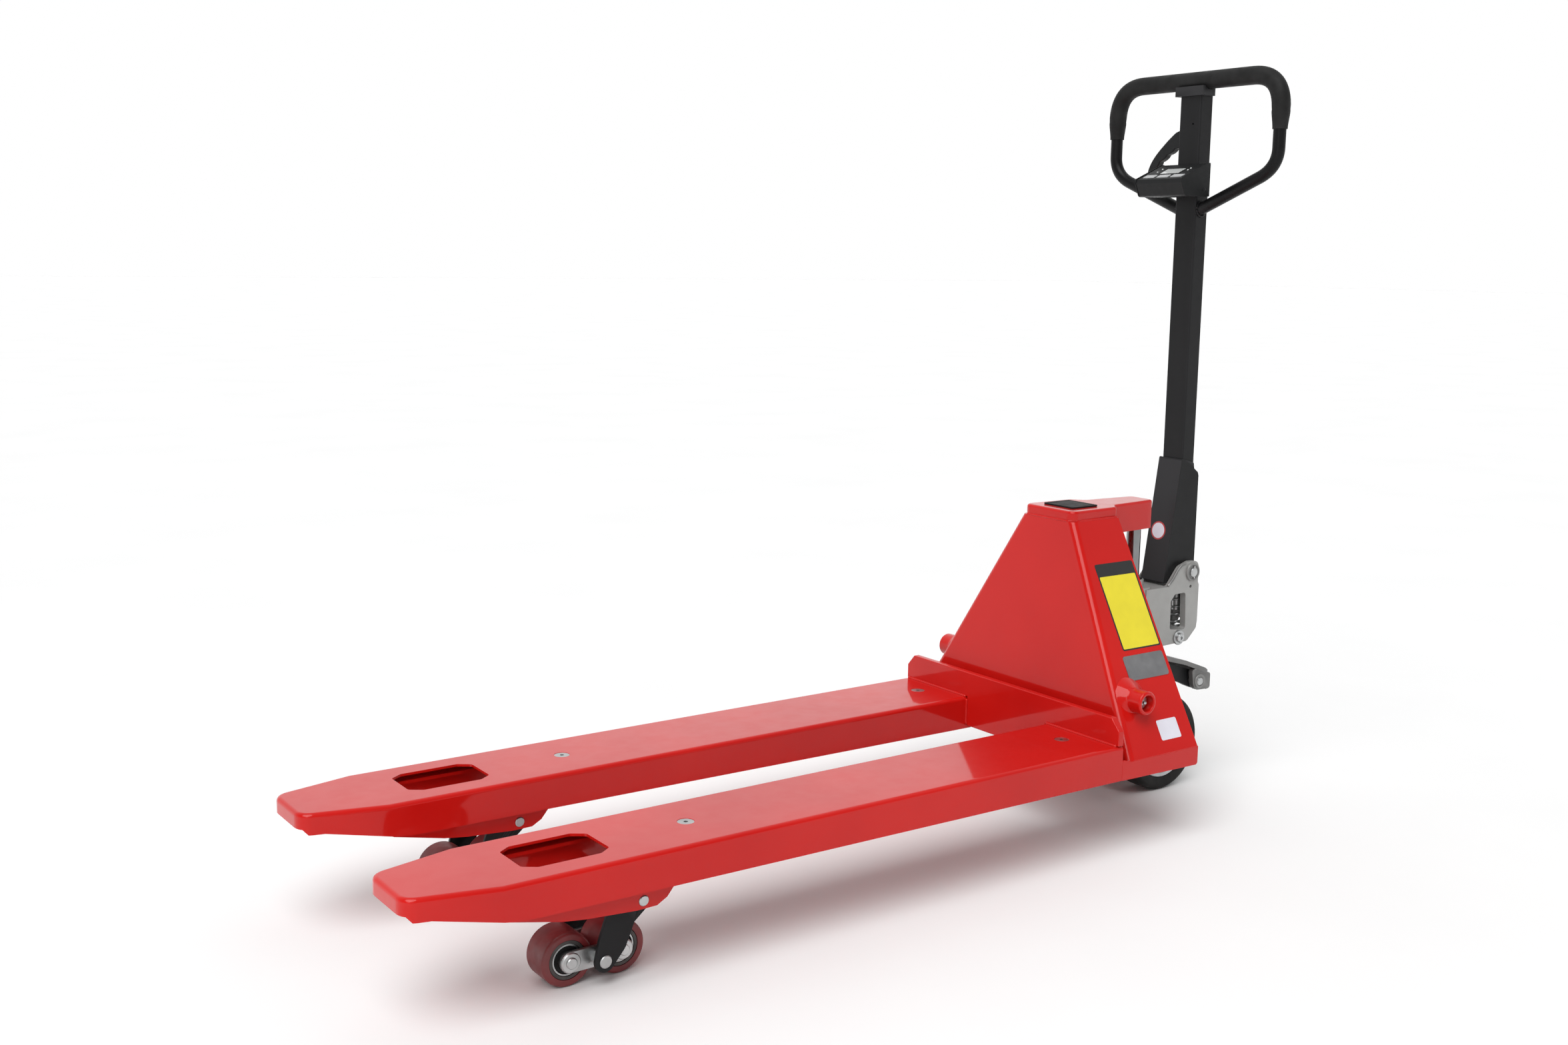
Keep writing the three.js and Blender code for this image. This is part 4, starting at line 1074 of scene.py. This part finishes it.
CLEVIS = {"half": 27.5, "inner": 24.3, "web": 3.2}
LOOP = {"x": -417, "half": 189, "bar": 1294.5, "arm": 1065, "corner": 1134.5, "radius": 11}
CLEVIS_LOW, CLEVIS_HIGH = span("handle_clevis")
FOLD_FOOT = Vector((-364, 0, CLEVIS_LOW.z))
FOLD_TOP = Vector((-398, 0, CLEVIS_HIGH.z))
FOLD = (FOLD_TOP - FOLD_FOOT).normalized()


def level(edge, axis):
    """Whether both ends of an edge have the same value on an axis."""
    first, second = (getattr(v.co, axis) for v in edge.verts)
    return abs(first - second) < 0.01


def on_fold(edge):
    """Whether an edge runs up the clevis's front face, at one side of it."""
    return level(edge, "y") and all(
        (v.co - FOLD_FOOT).xz.to_3d().cross(FOLD.xz.to_3d()).length < 0.1 for v in edge.verts)


def clevis():
    """Folded channel at the foot of the handle, open to the rear."""
    low, high = CLEVIS_LOW, CLEVIS_HIGH
    foot, top_x, web = FOLD_FOOT.x, FOLD_TOP.x, CLEVIS["web"]
    outside = rounded([(foot, low.z, 2), (top_x, high.z, 3), (-431, 603, 5), (-433, 592, 3),
                       (-444, 584, 5), (low.x, 578, 6), (low.x, 392, 8), (-430, low.z, 10)])
    bm = bevel(prism(outside, "y", -CLEVIS["half"], CLEVIS["half"]), 6.5, 5, on_fold)
    hollow = prism([(foot - web, low.z - 10), (top_x - web, high.z + 10), (-500, high.z + 10),
                    (-500, low.z - 10)], "y", -CLEVIS["inner"], CLEVIS["inner"])
    bevel(hollow, 3.5, 4, lambda edge: level(edge, "y") and all(v.co.x > -420 for v in edge.verts))
    presser = middle("presser_roller")
    bm = cut(bm, hollow, drill(9.4, -60, 60, (PIVOT.x, 0, PIVOT.z), "y", 32),
             drill(4.4, -60, 60, (presser.x, 0, presser.z), "y", 24))
    piece("clevis_sheet", soften(bm, 0.8, 2, 45), "black_coat", "handle", "handle_clevis", smooth=35)
    for name, sign in SIDES:
        y = sign * 24.2
        weld_bead(f"clevis_weld_{name}", [(-402, y, 604), (-434, y, 586)], 2.2, "handle", "black_coat")


def round_sticker():
    """Plain white disc with a red rim on the clevis's front."""
    height = 95 / FOLD.z
    turn = Matrix((ACROSS, FOLD, ACROSS.cross(FOLD))).transposed().to_4x4()
    place = Matrix.Translation(FOLD_FOOT + FOLD * height + Vector((0, -3.3, 0))) @ turn
    for name, radius, thick, look in (("sticker_rim", 17.2, 0.25, LABEL_RED),
                                      ("sticker_disc", 14.4, 0.4, LABEL_WHITE)):
        bm = lathe([(0, -0.1), (radius, -0.1), (radius, thick - 0.05), (radius - 0.2, thick), (0, thick)],
                   (0, 0, 0), "z")
        bm.transform(place)
        piece(name, bm, look, "handle", slot="red_paint")


def mast():
    """Square tube with rounded corners, the trigger's slot and the saddle under the top bar."""
    low = span("mast")[0]
    rear, front, half, wall = -436, -402, 24, 3
    pin = middle("trigger_pin")
    outer = prism(rectangle((rear, front), (-half, half), 4), "z", low.z, 1276)
    inner = prism(rectangle((rear + wall, front - wall), (wall - half, half - wall), 2),
                  "z", low.z - 5, 1256)
    slot = block((-424.8, -409.2), (-half - 5, 4 - half), (pin.z - 34, pin.z + 24))
    dot = drill(1.6, -410, -395, (0, 8.5, 1217.8), "x", 16)
    bm = cut(cut(outer, inner), slot, dot, drill(3.9, -460, front - wall, (0, pin.y, pin.z), "x", 24))
    piece("mast_tube", soften(bm, 0.7, 2, 40), "black_coat", "handle", "mast", smooth=35)
    saddle = prism(rectangle((rear + 6, front + 5), (-32, 32)), "z", 1267, 1284)
    bed = drill(16.6, -80, 80, (LOOP["x"], 0, LOOP["bar"]))
    piece("mast_saddle", soften(cut(saddle, bed), 1.6, 3, 40), "black_coat", "handle")


def loop_side(sign, sleeve_end=None):
    """Half of the loop's centre line, from the mast (or the sleeve's end) to the middle of the bar."""
    x, half, bar, corner = LOOP["x"], LOOP["half"], LOOP["bar"], LOOP["corner"]
    lean = (corner - LOOP["arm"]) / (half - 20)
    low = (x, sign * (half - 38), corner - 38 * lean)
    side_low = (x, sign * half, corner + 34)
    side_high = (x, sign * half, bar - 62)
    if sleeve_end is None:
        path = along([(x, sign * 25, LOOP["arm"] + 5 * lean), low], 6)
        path += bezier(low, (x, sign * half, corner), side_low, 14)
        path += along([side_low, side_high], 8)[1:]
    else:
        path = along([(x, sign * half, sleeve_end), side_high], 14)
    path += bezier(side_high, (x, sign * half, bar), (x, sign * (half - 62), bar), 16)
    return path + along([(x, sign * (half - 62), bar), (x, 0, bar)], 12)[1:]


def full_loop(sleeve_end=None):
    return loop_side(1, sleeve_end) + loop_side(-1, sleeve_end)[-2::-1]


def sleeve_radius(point, end):
    """The grip swells from its open ends, with a shallow seam where the side grip starts."""
    rise = min(1, max(0, (point.z - end) / 34))
    swell = rise * rise * (3 - 2 * rise)
    seam = 0.5 * math.exp(-((point.z - 1232) / 1.6) ** 2)
    return 12.9 + 3.1 * swell - seam


def grip_loop():
    """Bent tube of the grip, its long rubber sleeve and the welds where it meets the mast."""
    path = full_loop()
    bm = tube(path, [LOOP["radius"]] * len(path), 28)
    piece("loop_tube", bm, "black_coat", "handle", "grip_loop", smooth=80)
    end = span("grip_sleeve")[0].z
    path = full_loop(end)
    bm = tube(path, [sleeve_radius(point, end) for point in path], 40)
    piece("grip_sleeve_fine", bm, "black_rubber", "handle", "grip_sleeve", smooth=60)
    turns = [2 * math.pi * k / 20 for k in range(21)]
    for name, sign in SIDES:
        ring = [(LOOP["x"] + 11.6 * math.cos(t), sign * 24.6, LOOP["arm"] + 2 + 11.6 * math.sin(t) * 1.15)
                for t in turns]
        weld_bead(f"loop_weld_{name}", ring, 2.1, "handle", "black_coat")


HOUSING = {"rear": -401.7, "nose_x": -327, "nose_z": 1117}
SLOPE_START = Vector((-394, 0, 1146))
SLOPE_END = Vector((-329, 0, 1118))
SLOPE = (SLOPE_END - SLOPE_START).normalized()
SLOPE_OUT = ACROSS.cross(SLOPE) * -1
SLOPE_TURN = Matrix((SLOPE, ACROSS, SLOPE_OUT)).transposed().to_4x4()
SCREEN_AT, KEYS_AT = 0.45, 0.81
KEYS = ("left", "middle", "right")


def on_slope(bm, share, y=0):
    """Places a shape, built flat round the origin with its length along X, on the indicator's slope."""
    at = SLOPE_START.lerp(SLOPE_END, share) + Vector((0, y, 0))
    bm.transform(Matrix.Translation(at) @ SLOPE_TURN)
    return bm


def housing_side(low, high, corners, grow):
    """Side outline of the housing, drawn out by grow = (down, nose, lip, up)."""
    rear, nose_x, nose_z = HOUSING["rear"], HOUSING["nose_x"], HOUSING["nose_z"]
    down, nose, lip, up = grow
    places = [(rear, low.z), (nose_x - 11 + nose, low.z - down), (nose_x + nose * 0.8, nose_z - 6),
              (nose_x - 2 + nose, nose_z + 1 + lip), (SLOPE_START.x, high.z + up), (rear, high.z + up)]
    return rounded([(x, z, corner) for (x, z), corner in zip(places, corners)])


def indicator():
    """Folded wedge housing between two end plates, with a display, three keys and small lamps."""
    low, high = span("indicator_housing")
    half = high.y
    side = housing_side(low, high, (1, 5, 3, 1.5, 1.5, 1), (0, 0, 0, 0))
    pocket = on_slope(tile(26.8, 46.8, -3, 4), SCREEN_AT)
    key_y = {name: middle(f"indicator_key_{name}").y for name in KEYS}
    wells = [on_slope(tile(13.8, 26.8, -3.6, 4), KEYS_AT, key_y[name]) for name in KEYS]
    body = soften(cut(prism(side, "y", 2.2 - half, half - 2.2), pocket, *wells), 0.5, 2, 45)
    piece("indicator_body", body, "black_plastic", "handle", "indicator_housing", smooth=35)
    rim = housing_side(low, high, (1.5, 6, 4, 2, 2, 1.5), (0.6, 1, 1.4, 1.2))
    for name, sign in SIDES:
        bm = soften(prism(rim, "y", *sorted((sign * half, sign * (half - 2.1)))), 0.6, 2)
        piece(f"indicator_end_{name}", bm, "black_plastic", "handle")
    frame_ring = cut(tile(32, 52, 0, 0.5, 2.5), tile(26.4, 46.4, -1, 2))
    piece("display_frame", on_slope(frame_ring, SCREEN_AT), "black_plastic", "handle")
    glass = on_slope(soften(tile(26.2, 46.2, -2.5, -0.5), 0.3), SCREEN_AT)
    piece("display", glass, "screen", "handle", "indicator_screen")
    for name in KEYS:
        cap = on_slope(soften(tile(12.8, 25.8, -2, 0.7, 1.5), 0.45, 2), KEYS_AT, key_y[name])
        piece(f"key_cap_{name}", cap, "key_grey", f"key_{name}", f"indicator_key_{name}")
    for k, (share, y) in enumerate(((0.3, 33), (0.3, -33), (0.5, -33), (0.42, 33))):
        lamp = lathe([(0, -0.4), (1.8, -0.4), (1.8, 0.3), (1.2, 0.9), (0, 1.1)], (0, 0, 0), "z", 20)
        piece(f"indicator_lamp_{k}", on_slope(lamp, share, y), "screen", "handle")
    screw = [(0, -1), (3.2, -1), (3.2, 0.5), (2.2, 1.3), (0, 1.5)]
    for name, sign in SIDES:
        bm = turned(screw, (-388, 1100), sign * half, sign, 24)
        piece(f"indicator_screw_{name}", bm, "black_coat", "handle")


# Outline of the trigger from its pin: each curve's control point and end, as (y, z).
TRIGGER_CURVES = (
    ((9, 12), (-6, 14)), ((-16, 14), (-28, 9)), ((-44, -2), (-56, -13)), ((-80, -33), (-88, -50)),
    ((-96, -66), (-86, -68)), ((-79, -68), (-77, -56)), ((-66, -52), (-63, -42)),
    ((-50, -38), (-46, -30)), ((-34, -28), (-28, -20)), ((-14, -18), (0, -14)))


def trigger():
    """Release lever with finger grooves under it, on its pin through the mast."""
    low, high = span("release_trigger")
    pin = middle("trigger_pin").yz
    centre = (0, *pin)
    shape = [pin + Vector((9, -6))]
    for corner, stop in TRIGGER_CURVES:
        shape += bezier(shape[-1], pin + Vector(corner), pin + Vector(stop), 6)
    bm = prism(shape, "x", low.x, high.x)
    bevel(bm, 2.2, 3, lambda edge: level(edge, "x"))
    bm = cut(bm, drill(3.8, -460, -380, centre, "x", 24))
    piece("trigger_lever_fine", bm, "black_plastic", "trigger_lever", "release_trigger", smooth=50)
    low, high = span("trigger_pin")
    end = high.x - 3.5
    bm = lathe([(0, low.x), (2.9, low.x), (3.5, low.x + 0.6), (3.5, end), (0, end)], centre, "x", 24)
    piece("trigger_pin_fine", bm, "zinc_plate", "handle", "trigger_pin")


clevis()
round_sticker()
mast()
grip_loop()
indicator()
trigger()
refined("presser_roller", 0.6)


# ---------------------------------------------------------------- finishes of the CAD nodes that stay

slots = {row["node"]: row["material_slot"] for row in frame["record"]["subparts"]}
for node, obj in frame["nodes"].items():
    obj.data.materials.clear()
    obj.data.materials.append(LOOKS[slots[node]].material)


# ---------------------------------------------------------------- studio

def studio():
    """Seamless pale paper."""
    bm = bmesh.new()
    bmesh.ops.create_grid(bm, x_segments=8, y_segments=8, size=60)
    paper = material("pale_floor", (0.86, 0.86, 0.86), (0.88, 0.88, 0.88), (2, 4), (0.7, 0.85, 5, 3),
                     [], specular_ior_level=0.2)
    made("floor", bm, paper)


def surroundings():
    """White backdrop ahead of the camera and along the horizon, dimmer above and behind."""
    scene.world = bpy.data.worlds.new("white_studio")
    sky = Nodes(scene.world)
    direction = sky.coordinates.outputs["Generated"]
    ahead = sky.add("ShaderNodeVectorMath")
    ahead.operation = "DOT_PRODUCT"
    ahead.inputs[1].default_value = (-0.58, -0.815, 0)
    sky.link(direction, ahead.inputs[0])
    parts = sky.add("ShaderNodeSeparateXYZ")
    sky.link(direction, parts.inputs["Vector"])
    brighter = sky.add("ShaderNodeMath")
    brighter.operation = "MAXIMUM"
    sky.link(sky.between(ahead.outputs["Value"], 0.24, 1, -0.3, 0.8), brighter.inputs[0])
    sky.link(sky.between(parts.outputs["Z"], 0, 1, 0.3, 0.12), brighter.inputs[1])
    sky.link(brighter.outputs["Value"], sky.tree.nodes["Background"].inputs["Color"])


def lamp(name, kind, energy, place, toward):
    """A light that shines from its place along a direction."""
    light = bpy.data.lights.new(name, kind)
    light.energy = energy
    obj = bpy.data.objects.new(name, light)
    obj.location = place
    obj.rotation_euler = Vector(toward).to_track_quat("-Z", "Y").to_euler()
    scene.collection.objects.link(obj)
    return light


def camera():
    """The viewpoint: off the forks' left tip, a little above the middle of the truck."""
    right = Vector((-0.81606262, 0.57780544, 0.01351574))
    up = Vector((-0.08120041, -0.13777372, 0.98712962))
    ahead = Vector((-0.57223098, -0.8044621, -0.15935003))
    data = bpy.data.cameras.new("camera")
    data.lens = 37.64
    data.sensor_width = 36
    obj = bpy.data.objects.new("camera", data)
    turn = Matrix((right, up, -ahead)).transposed().to_4x4()
    obj.matrix_world = Matrix.Translation(TO_ROW @ Vector((1949.56, 2059.30, 969.18))) @ turn
    scene.collection.objects.link(obj)
    scene.camera = obj


studio()
surroundings()
# Very wide light from above and a little behind the camera.
overhead = lamp("overhead", "SUN", 2.35, (0, 0, 0), (-0.43, -0.30, -0.85))
overhead.angle = math.radians(50)
# Low panel that puts a glint on the tower's left side.
panel = lamp("tower_glint", "AREA", 6, (2.2, 1.4, 1.6), (-2.6, -1.4, -1.2))
panel.shape = "RECTANGLE"
panel.size, panel.size_y = 0.5, 1.6
camera()
